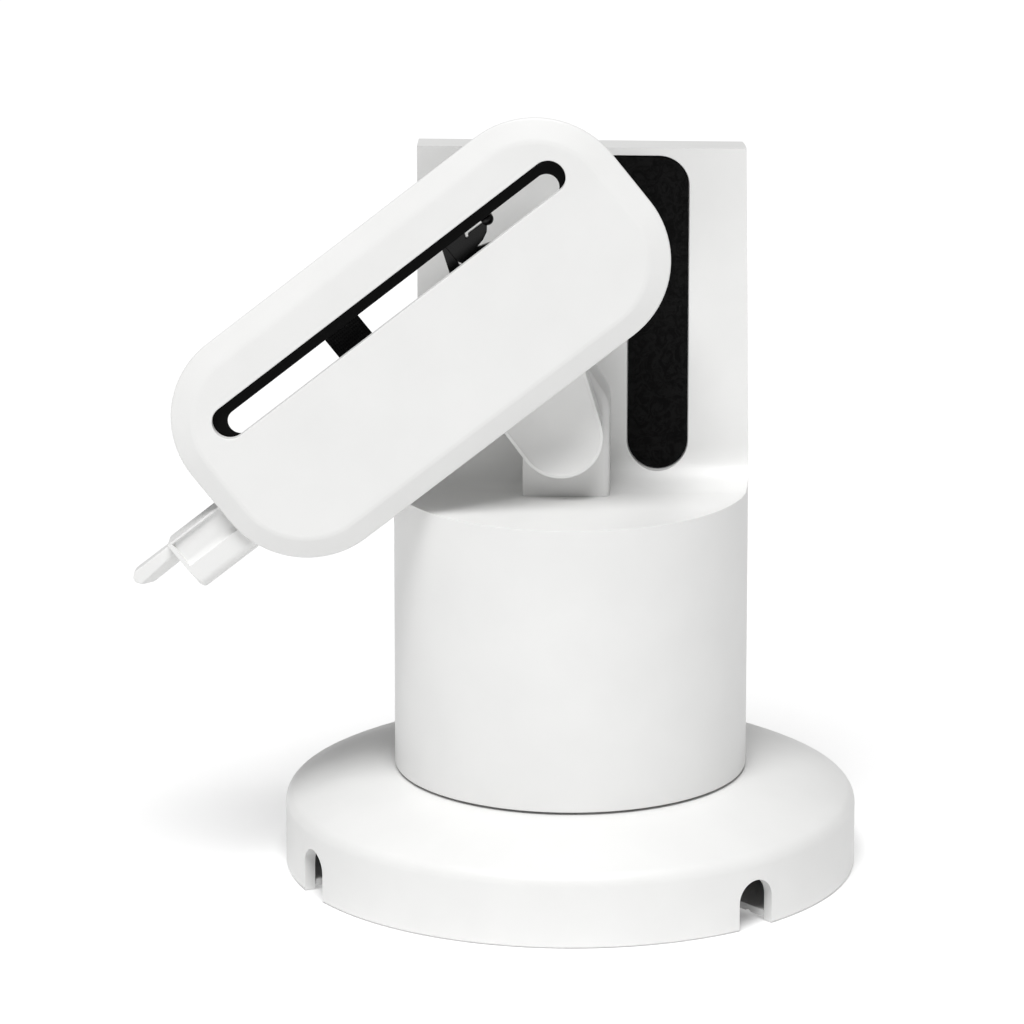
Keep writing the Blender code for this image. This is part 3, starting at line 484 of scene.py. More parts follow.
def node_middle(node):
    """The middle of a plain solid's box."""
    low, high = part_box(node)
    return (low + high) / 2


def set_screws(pattern, body, direction, nodes, seat):
    """Put a copy of a screw at each node, its head's underside at the seat's level."""
    for number, node in enumerate(nodes):
        place = node_middle(node)
        if direction[2]:
            place.z = seat
        else:
            place.y = seat
        screw = place_copy(pattern, node + "_cross_head", place, direction, 0.7 * number)
        fit(screw, body, "steel", screw_steel, node)
    bpy.data.objects.remove(pattern)


head_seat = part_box("base_screw_1")[0].z + 0.65 * mm
set_screws(make_screw("case_screw", 3 * mm, 0.65 * mm, 1.45 * mm, 13 * mm), "base", (0, 0, -1),
           [f"base_screw_{i}" for i in (1, 2, 3, 4)], head_seat)
rear_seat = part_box("cover_screw_1")[1].y - 1 * mm
set_screws(make_screw("plate_screw", 2.8 * mm, 1 * mm, 1.2 * mm, 6 * mm), "pedestal", (0, 1, 0),
           [f"cover_screw_{i}" for i in (1, 2, 3, 4)], rear_seat)
holder_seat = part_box("holder_screw_1")[1].y - 1 * mm
set_screws(make_screw("holder_screw", 2.8 * mm, 1 * mm, 1.2 * mm, 10 * mm), "holder", (0, 1, 0),
           [f"holder_screw_{i}" for i in (1, 2, 3, 4)], holder_seat)

# ---- Drum and plate -----------------------------------------------------------------------
# One white moulding: a drum open at the bottom, and an upright plate rising from its deck in
# a wide cove. The plate's right side is the drum's own wall, carried up and leaning in a little.
drum_radius = 55.4 * mm
drum_foot, plate_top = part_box("pedestal_shell")[0].z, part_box("pedestal_shell")[1].z
deck_top, drum_wall, deck_thickness = 122.7 * mm, 3 * mm, 3.7 * mm
plate_left, plate_front, plate_back = -48 * mm, 2 * mm, 12.5 * mm
front_cove, back_cove, side_cove = 12 * mm, 6 * mm, 2 * mm
side_lean = 1.4 * mm
far = 90 * mm


def bisect(point, direction, drop=False):
    """Split the open piece along a plane; a side that is dropped is closed over."""
    bpy.ops.mesh.select_all(action="SELECT")
    bpy.ops.mesh.bisect(plane_co=point, plane_no=direction, use_fill=drop, clear_outer=drop)


def cove_tool(name, low, high, radius, test):
    """A cutter for one side of the plate, whose foot edge is rounded to leave a cove."""
    tool = block(name, low, high)
    round_off(radius, 14, test)
    return tool


def front_room(gap):
    """The space before the plate and above the deck, kept a gap clear of both."""
    return cove_tool("front_room", (-far, -far, deck_top + gap), (far, plate_front - gap, 0.3),
                     front_cove, lambda e: middle(e).z < deck_top + mm
                     and middle(e).y > plate_front - mm)


pedestal = disc_blank("drum_and_plate", drum_radius, drum_foot, plate_top, sides=160)
bpy.ops.object.mode_set(mode="OBJECT")
cut(pedestal, front_room(0))
cut(pedestal, cove_tool("back_room", (-far, plate_back, deck_top), (far, far, 0.3), back_cove,
                        lambda e: middle(e).z < deck_top + mm and middle(e).y < plate_back + mm))
cut(pedestal, cove_tool("side_room", (-far, -far, deck_top), (plate_left, far, 0.3), side_cove,
                        lambda e: middle(e).z < deck_top + mm and middle(e).x > plate_left - mm))
bpy.ops.object.mode_set(mode="EDIT")


def on_wall(vertex):
    """A corner that lies on the drum's round wall."""
    return abs(Vector(vertex.co.xy).length - drum_radius) < 0.1 * mm


round_off(2.4 * mm, 5, lambda e: is_ridge(e) and all(on_wall(v) for v in e.verts)
          and deck_top - mm < middle(e).z < plate_top - 0.1 * mm)
round_off(1.4 * mm, 4, lambda e: is_ridge(e, 50) and middle(e).z > deck_top + 0.5 * mm)
bisect((0, 0, deck_top + front_cove + mm), (0, 0, 1))
pick("VERT", lambda v: v.co.z > plate_top - 2 * mm and v.co.x > 45 * mm)
bpy.ops.transform.translate(value=(-side_lean, 0, 0))
round_off(0.5 * mm, 2, lambda e: is_ridge(e) and middle(e).z < drum_foot + 0.1 * mm)
close(pedestal)

drill(pedestal, drum_radius - drum_wall, 0, deck_top - deck_thickness, (0, 0), 128)
for bearing in (30, 150, 270):
    boss = disc_blank("boss", 4.6 * mm, 36.7 * mm, 62 * mm, spot(48.6 * mm, bearing), 32)
    cut(pedestal, boss, "UNION")

cover_low_corner, cover_high_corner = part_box("plate_cover")
pocket_tool = block("pocket_tool", cover_low_corner - Vector((0.3 * mm, 4.8 * mm, 0.3 * mm)),
                    cover_high_corner + Vector((0.3 * mm, 9 * mm, 0.3 * mm)))
round_off(1 * mm, 3, lambda e: runs_along(e, "y"))
cut(pedestal, pocket_tool)

outlet_height = node_middle("cable_gland").z
pivot = next(Vector(j["pos_m"]) for j in frame["joints"] if j["name"] == "tilt")


def level_blank(name, radius, front, back, centre, sides=48):
    """A round blank lying along Y through (x, z), left open for editing."""
    bpy.ops.mesh.primitive_cylinder_add(vertices=sides, radius=radius, depth=back - front,
                                        location=(centre[0], (front + back) / 2, centre[1]),
                                        rotation=(math.radians(90), 0, 0))
    piece = start(name)
    apply_place()
    return piece


def bore(piece, radius, front, back, centre, sides=48):
    """Drill a level hole along Y."""
    cut(piece, level_blank("bore", radius, front, back, centre, sides))


bore(pedestal, 6 * mm, 46 * mm, 60 * mm, (0, outlet_height))
bore(pedestal, 4.3 * mm, 0, 8 * mm, (pivot.x, pivot.z))

inlay_low, inlay_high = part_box("plate_inlay")
inlay_width, inlay_face = 18.6 * mm, 2.3 * mm
inlay_right, inner_corner = inlay_high.x, 3 * mm


def thicken(depth):
    """Draw the selected sheet backward into a solid, with its faces outward."""
    extrude((0, depth, 0))
    bpy.ops.mesh.select_all(action="SELECT")
    bpy.ops.mesh.normals_make_consistent(inside=False)


def inlay_blank(name, grow, front, back):
    """The hook-shaped outline: an upright leg, its top drawn out to the left, rounded."""
    bpy.ops.mesh.primitive_plane_add(size=1, rotation=(math.radians(90), 0, 0))
    piece = start(name)
    left, low, high = inlay_right - inlay_width - grow, inlay_low.z - grow, inlay_high.z + grow
    right, bar_left = inlay_right + grow, inlay_low.x - grow
    bpy.ops.transform.resize(value=(right - left, 1, high - low), center_override=(0, 0, 0))
    bpy.ops.transform.translate(value=((left + right) / 2, front, (low + high) / 2))
    apply_place()
    bar_low = high - inlay_width - 2 * grow
    bisect((0, 0, bar_low), (0, 0, 1))
    pick("EDGE", lambda e: middle(e).x < left + 0.01 * mm and middle(e).z > bar_low + mm)
    extrude((bar_left - left, 0, 0))
    bpy.ops.mesh.select_all(action="SELECT")
    bpy.ops.mesh.dissolve_limited(angle_limit=math.radians(1))
    for radius, test in (
            (inlay_width / 2 + grow - 0.02 * mm,
             lambda v: v.co.z < low + mm or v.co.x < bar_left + mm or (
                 v.co.x > right - mm and v.co.z > high - mm)),
            (inner_corner, lambda v: abs(v.co.x - left) < 0.1 * mm
             and abs(v.co.z - bar_low) < 0.1 * mm)):
        pick("VERT", test)
        bpy.ops.mesh.bevel(offset=radius, segments=14, affect="VERTICES")
    bpy.ops.mesh.select_all(action="SELECT")
    thicken(back - front)
    return piece


cut(pedestal, inlay_blank("recess_tool", 0.3 * mm, -20 * mm, 3.4 * mm))
reopen(pedestal)


def on_recess_rim(edge):
    """The edge where the inlay's recess breaks the plate's face and cove."""
    spot_on = middle(edge)
    inside = inlay_low.x - mm < spot_on.x < inlay_high.x + mm \
        and inlay_low.z - mm < spot_on.z < inlay_high.z + mm
    return inside and spot_on.y < 2.1 * mm and is_ridge(edge, 50)


round_off(0.5 * mm, 3, on_recess_rim)
close(pedestal, 30)
fit(pedestal, "pedestal", "white_plastic", white_plastic, "pedestal_shell")

# ---- Inlay --------------------------------------------------------------------------------
# A hook-shaped pad of black leathercloth stuck in a shallow recess of the plate, with fine
# creases across it and a turned-in edge.
inlay = inlay_blank("leathercloth_inlay", 0.0, inlay_face, inlay_high.y)
round_off(0.35 * mm, 3, lambda e: is_ridge(e) and middle(e).y < inlay_face + 0.05 * mm)
close(inlay)

leathercloth, hide, hide_links, hide_shader = new_material("black_leathercloth",
                                                           Specular_IOR_Level=0.08)
hide_place = add_node(hide, "TexCoord")
pebbles = add_node(hide, "TexVoronoi", Scale=1500.0)
creases = add_node(hide, "TexNoise", Scale=260.0, Detail=9.0, Roughness=0.7, Distortion=2.2)
crease_lines = add_node(hide, "MapRange", From_Min=0.44, From_Max=0.56)
wire(hide_links, (hide_place, "Object", pebbles, "Vector"),
     (hide_place, "Object", creases, "Vector"), (creases, "Fac", crease_lines, "Value"))
hide_tone = add_node(hide, "Mix")
hide_tone.data_type = "RGBA"
hide_tone.inputs[6].default_value = (0.0015, 0.0015, 0.0015, 1)
hide_tone.inputs[7].default_value = (0.006, 0.006, 0.006, 1)
hide_gloss = add_node(hide, "MapRange", To_Min=0.62, To_Max=0.84)
pebble_bump = add_node(hide, "Bump", Strength=0.5, Distance=0.06 * mm)
crease_bump = add_node(hide, "Bump", Strength=0.7, Distance=0.18 * mm)
wire(hide_links, (crease_lines, "Result", hide_tone, 0), (creases, "Fac", hide_gloss, "Value"),
     (pebbles, "Distance", pebble_bump, "Height"), (creases, "Fac", crease_bump, "Height"),
     (pebble_bump, "Normal", crease_bump, "Normal"), (hide_tone, 2, hide_shader, "Base Color"),
     (hide_gloss, "Result", hide_shader, "Roughness"),
     (crease_bump, "Normal", hide_shader, "Normal"))
fit(inlay, "pedestal", "black_inlay", leathercloth, "plate_inlay")

# ---- Plate cover and cable gland ----------------------------------------------------------
# A flat white lid closes the plate's back with four screws, and a rubber grommet lines the
# cable's way into the drum.
plate_lid = block("plate_lid", cover_low_corner, cover_high_corner)
round_off(1 * mm, 3, lambda e: runs_along(e, "y"))
round_off(0.4 * mm, 3, lambda e: is_ridge(e, 60) and middle(e).y > cover_high_corner.y - 0.05 * mm)
close(plate_lid)
for number in (1, 2, 3, 4):
    place = node_middle(f"cover_screw_{number}")
    bore(plate_lid, 1.6 * mm, 9 * mm, 14 * mm, (place.x, place.z), 24)
fit(plate_lid, "pedestal", "white_plastic", white_plastic, "plate_cover")

gland_front, gland_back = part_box("cable_gland")[0].y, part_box("cable_gland")[1].y
gland_outer, gland_neck, gland_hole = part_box("cable_gland")[1].x, 5.7 * mm, 3.6 * mm
lip_front = gland_back - 1.5 * mm
grommet = turned("cable_grommet", [(gland_hole, gland_front), (gland_neck, gland_front),
                                   (gland_neck, lip_front), (gland_outer, lip_front)]
                 + bend((gland_outer - 0.8 * mm, gland_back - 0.8 * mm), 0.8 * mm, 0, 90, 5)
                 + bend((gland_hole + 0.8 * mm, gland_back - 0.8 * mm), 0.8 * mm, 90, 180, 5), 48)


def settle(piece, place, turn):
    """Turn a finished piece about its own origin, move it, and apply both."""
    piece.rotation_mode = "XYZ"
    piece.rotation_euler, piece.location = turn, place
    apply_turn(piece)


settle(grommet, (0, 0, outlet_height), (math.radians(-90), 0, 0))
fit(grommet, "pedestal", "rubber", pad_rubber, "cable_gland")

# ---- Pivot block --------------------------------------------------------------------------
# A solid white block screwed to the plate from behind, which takes the tilt pin. Its top
# right is cut away at a slant, its right edges are rounded, and its foot follows the cove.
block_low, block_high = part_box("pivot_block")
shoulder = Vector((block_high.x, 0, 153.6 * mm))
peak = Vector((0.2 * mm, 0, block_high.z))
pivot_block = block("pivot_block_moulding", (block_low.x, block_low.y, deck_top - mm),
                    (block_high.x, plate_front + mm, block_high.z))
slant = peak - shoulder
bisect(shoulder, (slant.z, 0, -slant.x), drop=True)
round_off(3 * mm, 5, lambda e: runs_along(e, "y")
          and (middle(e) - Vector((0, middle(e).y, 0)) - shoulder).length < 0.1 * mm)
round_off(2.2 * mm, 6, lambda e: is_ridge(e, 60) and middle(e).y < block_low.y + 0.05 * mm
          and middle(e).x > block_low.x + 0.1 * mm and middle(e).z > deck_top)
round_off(0.5 * mm, 2, lambda e: is_ridge(e, 60) and middle(e).z > deck_top
          and middle(e).x < block_low.x + 0.05 * mm)
close(pivot_block)
cut(pivot_block, front_room(0.05 * mm), "INTERSECT")
bore(pivot_block, 4.3 * mm, -18 * mm, 4 * mm, (pivot.x, pivot.z))
reopen(pivot_block)
close(pivot_block)
fit(pivot_block, "pedestal", "white_plastic", white_plastic, "pivot_block")

# ---- Ear ----------------------------------------------------------------------------------
# The knuckle that hangs the holder on the pin: a white teardrop screwed to the holder's
# back, its side drawn in to the rear, its front scooped out like a spoon inside a thin rim.
slide_axis = next(Vector(j["axis"]) for j in frame["joints"] if j["name"] == "bracket_slide")
rest_tilt = math.atan2(-slide_axis.z, -slide_axis.x)
holder_middle = node_middle("holder_shell")
holder_middle.y = 0


def lean(piece):
    """Carry a piece from the holder's own frame, upright about its middle, to its place."""
    settle(piece, holder_middle, (0, -rest_tilt, 0))


ear_front, ear_back = -24.7 * mm, -16.5 * mm
ear_foot, ear_foot_radius = (11.7 * mm, -53.4 * mm), 13.3 * mm
ear_head, ear_head_radius = (19.4 * mm, -17 * mm), 19.8 * mm
ear_lean, ear_plate = 2.3 * mm, 1.4 * mm
ear_posts = ((12 * mm, -22 * mm), (27 * mm, -18 * mm))
ear = level_blank("spoon_ear", ear_foot_radius, ear_front, ear_back, ear_foot, 96)
bpy.ops.object.mode_set(mode="OBJECT")
ear_top = level_blank("ear_top", ear_head_radius, ear_front, ear_back, ear_head, 96)
bpy.ops.object.mode_set(mode="OBJECT")
ear_top.select_set(True)
ear.select_set(True)
bpy.context.view_layer.objects.active = ear
bpy.ops.object.join()
bpy.ops.object.mode_set(mode="EDIT")
bpy.ops.mesh.select_all(action="SELECT")
bpy.ops.mesh.convex_hull()
bpy.ops.mesh.dissolve_limited(angle_limit=math.radians(0.8))
bpy.ops.mesh.normals_make_consistent(inside=False)
pick("FACE", lambda f: f.normal.y > 0.9 and f.calc_area() > 1e-4)
bpy.ops.mesh.inset(thickness=ear_lean)
pick("VERT", lambda v: v.co.y > ear_back - 0.01 * mm
     and all(f.calc_area() < 1e-4 for f in v.link_faces))
bpy.ops.transform.translate(value=(0, ear_front + ear_plate - ear_back, 0))
scoop_depth, scoop_reach, scoop_steps = 2.9 * mm, 12 * mm, 14
pick("FACE", lambda f: f.normal.y < -0.9 and f.calc_area() > 1e-4)
bpy.ops.mesh.inset(thickness=1.0 * mm)
bpy.ops.mesh.inset(thickness=0.25 * mm, depth=-0.25 * mm)
for step in range(scoop_steps):
    depth = [scoop_depth * math.sin(math.pi / 2 * (step + k) / scoop_steps) for k in (0, 1)]
    bpy.ops.mesh.inset(thickness=scoop_reach / scoop_steps, depth=depth[0] - depth[1])
round_off(0.3 * mm, 2, lambda e: is_ridge(e, 60))
close(ear, 40)
for place in ear_posts:
    post = level_blank("post", 3.8 * mm, ear_front, ear_front + 5 * mm, place, 32)
    cut(ear, post, "UNION")
    bore(ear, 1.8 * mm, -30 * mm, -19 * mm, place, 24)
bore(ear, 4.3 * mm, -20.9 * mm, -10 * mm, ear_foot, 32)
lean(ear)
fit(ear, "holder", "white_plastic", white_plastic, "pivot_ear")

# ---- Holder casing ------------------------------------------------------------------------
# The oblong white shell that faces the customer: a tray with a wide soft bevel and a wall that
# leans in to the rear, a long slot with round ends, and a window in its low end for the bracket.
half_length, half_height, corner_radius = 82.5 * mm, 39.2 * mm, 30 * mm
face_front, bevel_front, shell_rear = -44 * mm, -41.2 * mm, -25 * mm
bevel_width, shell_wall, wall_lean = 7 * mm, 2.6 * mm, 4.6 * mm
cavity_flare = (1.061, 1, 1.144)
slot_left, slot_right, slot_centre, slot_half = -67.2 * mm, 68.2 * mm, 16 * mm, 5.3 * mm
holder_bosses = ((-58 * mm, -27 * mm), (58 * mm, -27 * mm), (58 * mm, 27 * mm),
                 (-58 * mm, 27 * mm))


def oblong_sheet(name, inset, depth, centre_v=0.0):
    """A flat oblong with round corners, facing forward, drawn in from the holder's outline."""
    bpy.ops.mesh.primitive_plane_add(size=1, rotation=(math.radians(90), 0, 0))
    bpy.ops.object.transform_apply(location=True, rotation=True, scale=True)
    piece = start(name)
    bpy.ops.transform.resize(value=(2 * (half_length - inset), 1, 2 * (half_height - inset)),
                             center_override=(0, 0, 0))
    bpy.ops.transform.translate(value=(0, depth, centre_v))
    pick("VERT", lambda v: True)
    bpy.ops.mesh.bevel(offset=corner_radius - inset, segments=20, affect="VERTICES")
    bpy.ops.mesh.select_all(action="SELECT")
    return piece


def slot_blank(name, left, right, centre_v, half, front, back):
    """A bar with round ends, for cutting a slot or as a blank."""
    tool = block(name, (left, front, centre_v - half), (right, back, centre_v + half))
    round_off(half - 0.01 * mm, 14,
              lambda e: runs_along(e, "y"))
    return tool


holder_casing = oblong_sheet("holder_casing", 0, bevel_front)
thicken(0.5 * mm)
pick("FACE", lambda f: f.normal.y > 0.9)
bpy.ops.mesh.inset(thickness=wall_lean, depth=shell_rear - bevel_front - 0.5 * mm)
pick("EDGE", lambda e: all(abs(v.co.y - bevel_front - 0.5 * mm) < 0.01 * mm for v in e.verts))
bpy.ops.mesh.dissolve_edges(use_verts=True)
pick("FACE", lambda f: f.normal.y < -0.9)
bpy.ops.mesh.inset(thickness=bevel_width, depth=bevel_front - face_front)
round_off(1.0 * mm, 5, lambda e: all(v.co.y < face_front + 0.01 * mm for v in e.verts))
round_off(0.8 * mm, 4, lambda e: is_ridge(e) and middle(e).y < bevel_front + 0.05 * mm)
pick("FACE", lambda f: f.normal.y > 0.9)
bpy.ops.mesh.inset(thickness=shell_wall)
extrude((0, bevel_front + 1.6 * mm - shell_rear, 0))
bpy.ops.transform.resize(value=cavity_flare, center_override=(0, 0, 0))
bpy.ops.mesh.inset(thickness=bevel_width + mm - shell_wall, depth=-1.6 * mm)
round_off(0.4 * mm, 2, lambda e: is_ridge(e, 60) and middle(e).y > shell_rear - 0.05 * mm)
close(holder_casing)
for place in holder_bosses:
    post = level_blank("post", 3 * mm, face_front + 2 * mm, -27.6 * mm, place, 32)
    cut(holder_casing, post, "UNION")
    bore(holder_casing, 1.6 * mm, -37 * mm, -26 * mm, place, 24)
slot_tool = slot_blank("slot_tool", slot_left, slot_right, slot_centre, slot_half, -48 * mm,
                       -38 * mm)
cut(holder_casing, slot_tool)
window_tool = block("window_tool", (-85.5 * mm, -38.9 * mm, -21.9 * mm),
                    (-62.5 * mm, -27.5 * mm, -3.2 * mm))
cut(holder_casing, window_tool)
reopen(holder_casing)
round_off(0.45 * mm, 3, lambda e: is_ridge(e, 60) and middle(e).y < face_front + 0.02 * mm)
close(holder_casing, 30)
lean(holder_casing)
fit(holder_casing, "holder", "white_plastic", white_plastic, "holder_shell")

# ---- Slot liner and back lid --------------------------------------------------------------
# A black moulded frame lines the slot from behind, narrower than it, and a white lid with a
# wider slot closes the holder's back.
liner = slot_blank("slot_lining", -71.2 * mm, 72 * mm, 14.6 * mm, 9.2 * mm, -40.9 * mm,
                   -39.5 * mm)
bpy.ops.object.mode_set(mode="OBJECT")
liner_tool = slot_blank("liner_tool", -63.6 * mm, 64.2 * mm, 13.65 * mm, 3.95 * mm, -45 * mm,
                        -35 * mm)
cut(liner, liner_tool)
reopen(liner)
round_off(0.35 * mm, 3, lambda e: is_ridge(e, 60) and middle(e).y < -40.85 * mm)
close(liner)
lean(liner)
black_plastic = moulded("black_plastic", (0.004, 0.004, 0.004), 0.5, tone_drift=0.2,
                        specular=0.06)
fit(liner, "holder", "black_plastic", black_plastic, "slot_liner")

back_lid = oblong_sheet("holder_back_lid", 7.5 * mm, -27.2 * mm)
thicken(2 * mm)
round_off(0.4 * mm, 2, lambda e: is_ridge(e, 60) and middle(e).y > -25.3 * mm)
close(back_lid)
back_tool = slot_blank("back_tool", -70 * mm, 67 * mm, 11.25 * mm, 7.75 * mm, -30 * mm, -20 * mm)
cut(back_lid, back_tool)
for place in holder_bosses + ear_posts:
    bore(back_lid, 1.8 * mm, -30 * mm, -20 * mm, place, 24)
reopen(back_lid)
round_off(0.4 * mm, 2, lambda e: is_ridge(e, 60) and middle(e).y > -25.21 * mm
          and e.calc_length() > 0.9 * mm)
close(back_lid)
lean(back_lid)
fit(back_lid, "holder", "white_plastic", white_plastic, "holder_back")

# ---- Cross strap --------------------------------------------------------------------------
# A short length of flat black webbing stretched across the slot behind the liner, which
# keeps a cable from dropping through.
strap_low = Vector((-24.6 * mm, -33.6 * mm, -1 * mm))
strap_high = Vector((-11.8 * mm, -32 * mm, 31 * mm))
rib_depth = 0.18 * mm
strap = block("webbing_strap", strap_low, strap_high)
round_off(0.5 * mm, 3, lambda e: runs_along(e, "z"))
for rib in range(1, 32):
    bisect((0, 0, strap_low.z + rib * mm), (0, 0, 1))
pick("VERT", lambda v: round((v.co.z - strap_low.z) / mm) % 2 == 0
     and v.co.y < strap_low.y + 0.2 * mm)
bpy.ops.transform.translate(value=(0, rib_depth, 0))
close(strap, 60)
lean(strap)

webbing, weave, weave_links, weave_shader = new_material("black_webbing",
                                                         Specular_IOR_Level=0.15)
weave_place = add_node(weave, "TexCoord")
weave_turn = add_node(weave, "Mapping", Rotation=(0, rest_tilt, 0))
weft, warp = add_node(weave, "TexWave"), add_node(weave, "TexWave")
weft.bands_direction, warp.bands_direction = "Z", "X"
crossed = add_node(weave, "Math")
crossed.operation = "MAXIMUM"
wire(weave_links, (weave_place, "Object", weave_turn, "Vector"))
for threads, scale in ((weft, 300.0), (warp, 420.0)):
    threads.inputs["Scale"].default_value = scale
    threads.inputs["Distortion"].default_value = 0.4
    wire(weave_links, (weave_turn, "Vector", threads, "Vector"))
wire(weave_links, (weft, "Fac", crossed, 0), (warp, "Fac", crossed, 1))
weave_tone = add_node(weave, "Mix")
weave_tone.data_type = "RGBA"
weave_tone.inputs[6].default_value = (0.002, 0.002, 0.002, 1)
weave_tone.inputs[7].default_value = (0.009, 0.009, 0.009, 1)
weave_gloss = add_node(weave, "MapRange", To_Min=0.9, To_Max=0.7)
weave_bump = add_node(weave, "Bump", Strength=0.8, Distance=0.15 * mm)
wire(weave_links, (crossed, 0, weave_tone, 0), (crossed, 0, weave_gloss, "Value"),
     (crossed, 0, weave_bump, "Height"), (weave_tone, 2, weave_shader, "Base Color"),
     (weave_gloss, "Result", weave_shader, "Roughness"),
     (weave_bump, "Normal", weave_shader, "Normal"))
fit(strap, "holder", "black_webbing", webbing, "cross_strap")

# ---- Cable latch --------------------------------------------------------------------------
# A sprung hook moulded in glossy black nylon: a plate on a pin, with a finger knob on its
# arm, a slit under the arm, a lobe that presses on the cable and a pointed tail.
latch_front, latch_back = -33.5 * mm, -31.7 * mm
latch_pivot, knob = (26 * mm, 27 * mm), (38.6 * mm, 15.9 * mm)
latch_outline = [(16.6, 4.0), (21.8, 8.0), (24.4, 8.4), (33.8, 8.2), (35.6, 9.0), (30.4, 10.8),
                 (33.4, 11.4), (35.8, 12.6), (37.3, 14.4), (37.2, 15.7), (31.0, 15.8),
                 (30.4, 14.9), (29.6, 15.1), (30.2, 16.5), (37.2, 16.6)]
latch_outline = [(u * mm, v * mm) for u, v in latch_outline]
latch_outline += bend((38.8 * mm, 16.2 * mm), 1.6 * mm, -120, 110, 10)
latch_outline += [(35 * mm, 20 * mm), (31 * mm, 28.5 * mm)]
latch_outline += bend(latch_pivot, 5 * mm, 20, 160, 12)
latch_outline += [(21.6 * mm, 24 * mm), (21.7 * mm, 17 * mm)]


def traced(name, outline, front, back):
    """A plate drawn point by point from one vertex in (x, z), filled and given its depth."""
    bpy.ops.mesh.primitive_plane_add(size=1)
    piece = start(name)
    bpy.ops.mesh.select_all(action="SELECT")
    bpy.ops.mesh.merge(type="CENTER")
    at = Vector((outline[0][0], front, outline[0][1]))
    bpy.ops.transform.translate(value=at)
    for x, z in outline[1:]:
        step = Vector((x, front, z)) - at
        extrude(step)
        at = at + step
    bpy.ops.mesh.select_all(action="SELECT")
    bpy.ops.mesh.edge_face_add()
    thicken(back - front)
    return piece


latch = traced("cable_latch", latch_outline, latch_front, latch_back)
round_off(0.25 * mm, 2, lambda e: is_ridge(e, 60) and middle(e).y < latch_front + 0.01 * mm)
close(latch)
bore(latch, 1.8 * mm, -35 * mm, -30 * mm, latch_pivot, 32)
for place, radius, sides in (((23.1 * mm, 9.9 * mm), 0.9 * mm, 3),
                             ((27.5 * mm, 18 * mm), 1 * mm, 24)):
    bore(latch, radius, -35 * mm, -30 * mm, place, sides)
bpy.ops.mesh.primitive_uv_sphere_add(segments=32, ring_count=20, radius=2 * mm,
                                     location=(knob[0], latch_front - 0.4 * mm, knob[1]))
finger_knob = start("finger_knob")
cut(latch, finger_knob, "UNION")
rib_tool = block("rib", (22.2 * mm, latch_front - 0.5 * mm, 9 * mm),
                 (23 * mm, latch_front + 0.4 * mm, 26 * mm))
cut(latch, rib_tool, "UNION")
reopen(latch)
close(latch, 40)
lean(latch)
glossy_black = moulded("glossy_black_nylon", (0.006, 0.006, 0.006), 0.26, tone_drift=0.2,
                       depth=0.08, specular=0.3)
fit(latch, "latch", "black_plastic", glossy_black, "slot_latch")

# ---- Foot bracket -------------------------------------------------------------------------
# The white bracket that slides out of the holder's low end to carry a terminal's foot: a
# block with an open tray in front, whose lower side sweeps forward, on a tail and a rail.
tray_left, tray_right, tray_floor = -101.6 * mm, -70 * mm, -37.2 * mm
tray_low, tray_high = -13.2 * mm, -4.3 * mm
bracket = block("foot_bracket_moulding", (-103 * mm, -38.6 * mm, -21.6 * mm),
                (-76 * mm, -27.9 * mm, -3.5 * mm))
round_off(3.5 * mm, 6, lambda e: middle(e).z < -21 * mm and middle(e).y < -38 * mm)
round_off(1.2 * mm, 4, lambda e: is_ridge(e, 60) and middle(e).z < -12 * mm
          and middle(e).x < -102.9 * mm)
round_off(0.4 * mm, 2, lambda e: is_ridge(e, 60) and middle(e).x < -77 * mm)
close(bracket)
tail = block("bracket_tail", (-80 * mm, -37.6 * mm, -20.6 * mm), (-59 * mm, -32 * mm, -4.5 * mm))
round_off(0.6 * mm, 2, lambda e: is_ridge(e, 60) and middle(e).x > -60 * mm)
cut(bracket, tail, "UNION")
tray_tool = block("tray_tool", (tray_left, -48 * mm, tray_low), (tray_right, tray_floor, tray_high))
round_off(2.3 * mm, 8, lambda e: middle(e).y > tray_floor - mm and middle(e).z < tray_low + mm)
round_off(0.8 * mm, 4, lambda e: is_ridge(e, 60) and middle(e).y > tray_floor - 0.01 * mm
          and (middle(e).x < tray_left + 0.1 * mm or middle(e).z > tray_high - 0.1 * mm))
cut(bracket, tray_tool)
tunnel_tool = block("tunnel_tool", (-106 * mm, -35.3 * mm, -11.6 * mm),
                    (-78.4 * mm, -29.7 * mm, -4.2 * mm))
cut(bracket, tunnel_tool)
for place in ((-72 * mm, -13 * mm), (-64 * mm, -13 * mm)):
    bore(bracket, 1.8 * mm, -36.2 * mm, -28 * mm, place, 24)
reopen(bracket)
round_off(0.3 * mm, 2, lambda e: is_ridge(e, 50) and middle(e).y < -38.55 * mm
          and middle(e).z > -12 * mm and e.calc_length() > 5 * mm)
bpy.ops.mesh.select_all(action="SELECT")
bpy.ops.mesh.fill_holes(sides=6)
close(bracket, 40)
lean(bracket)
fit(bracket, "bracket", "white_plastic", white_plastic, "foot_bracket")

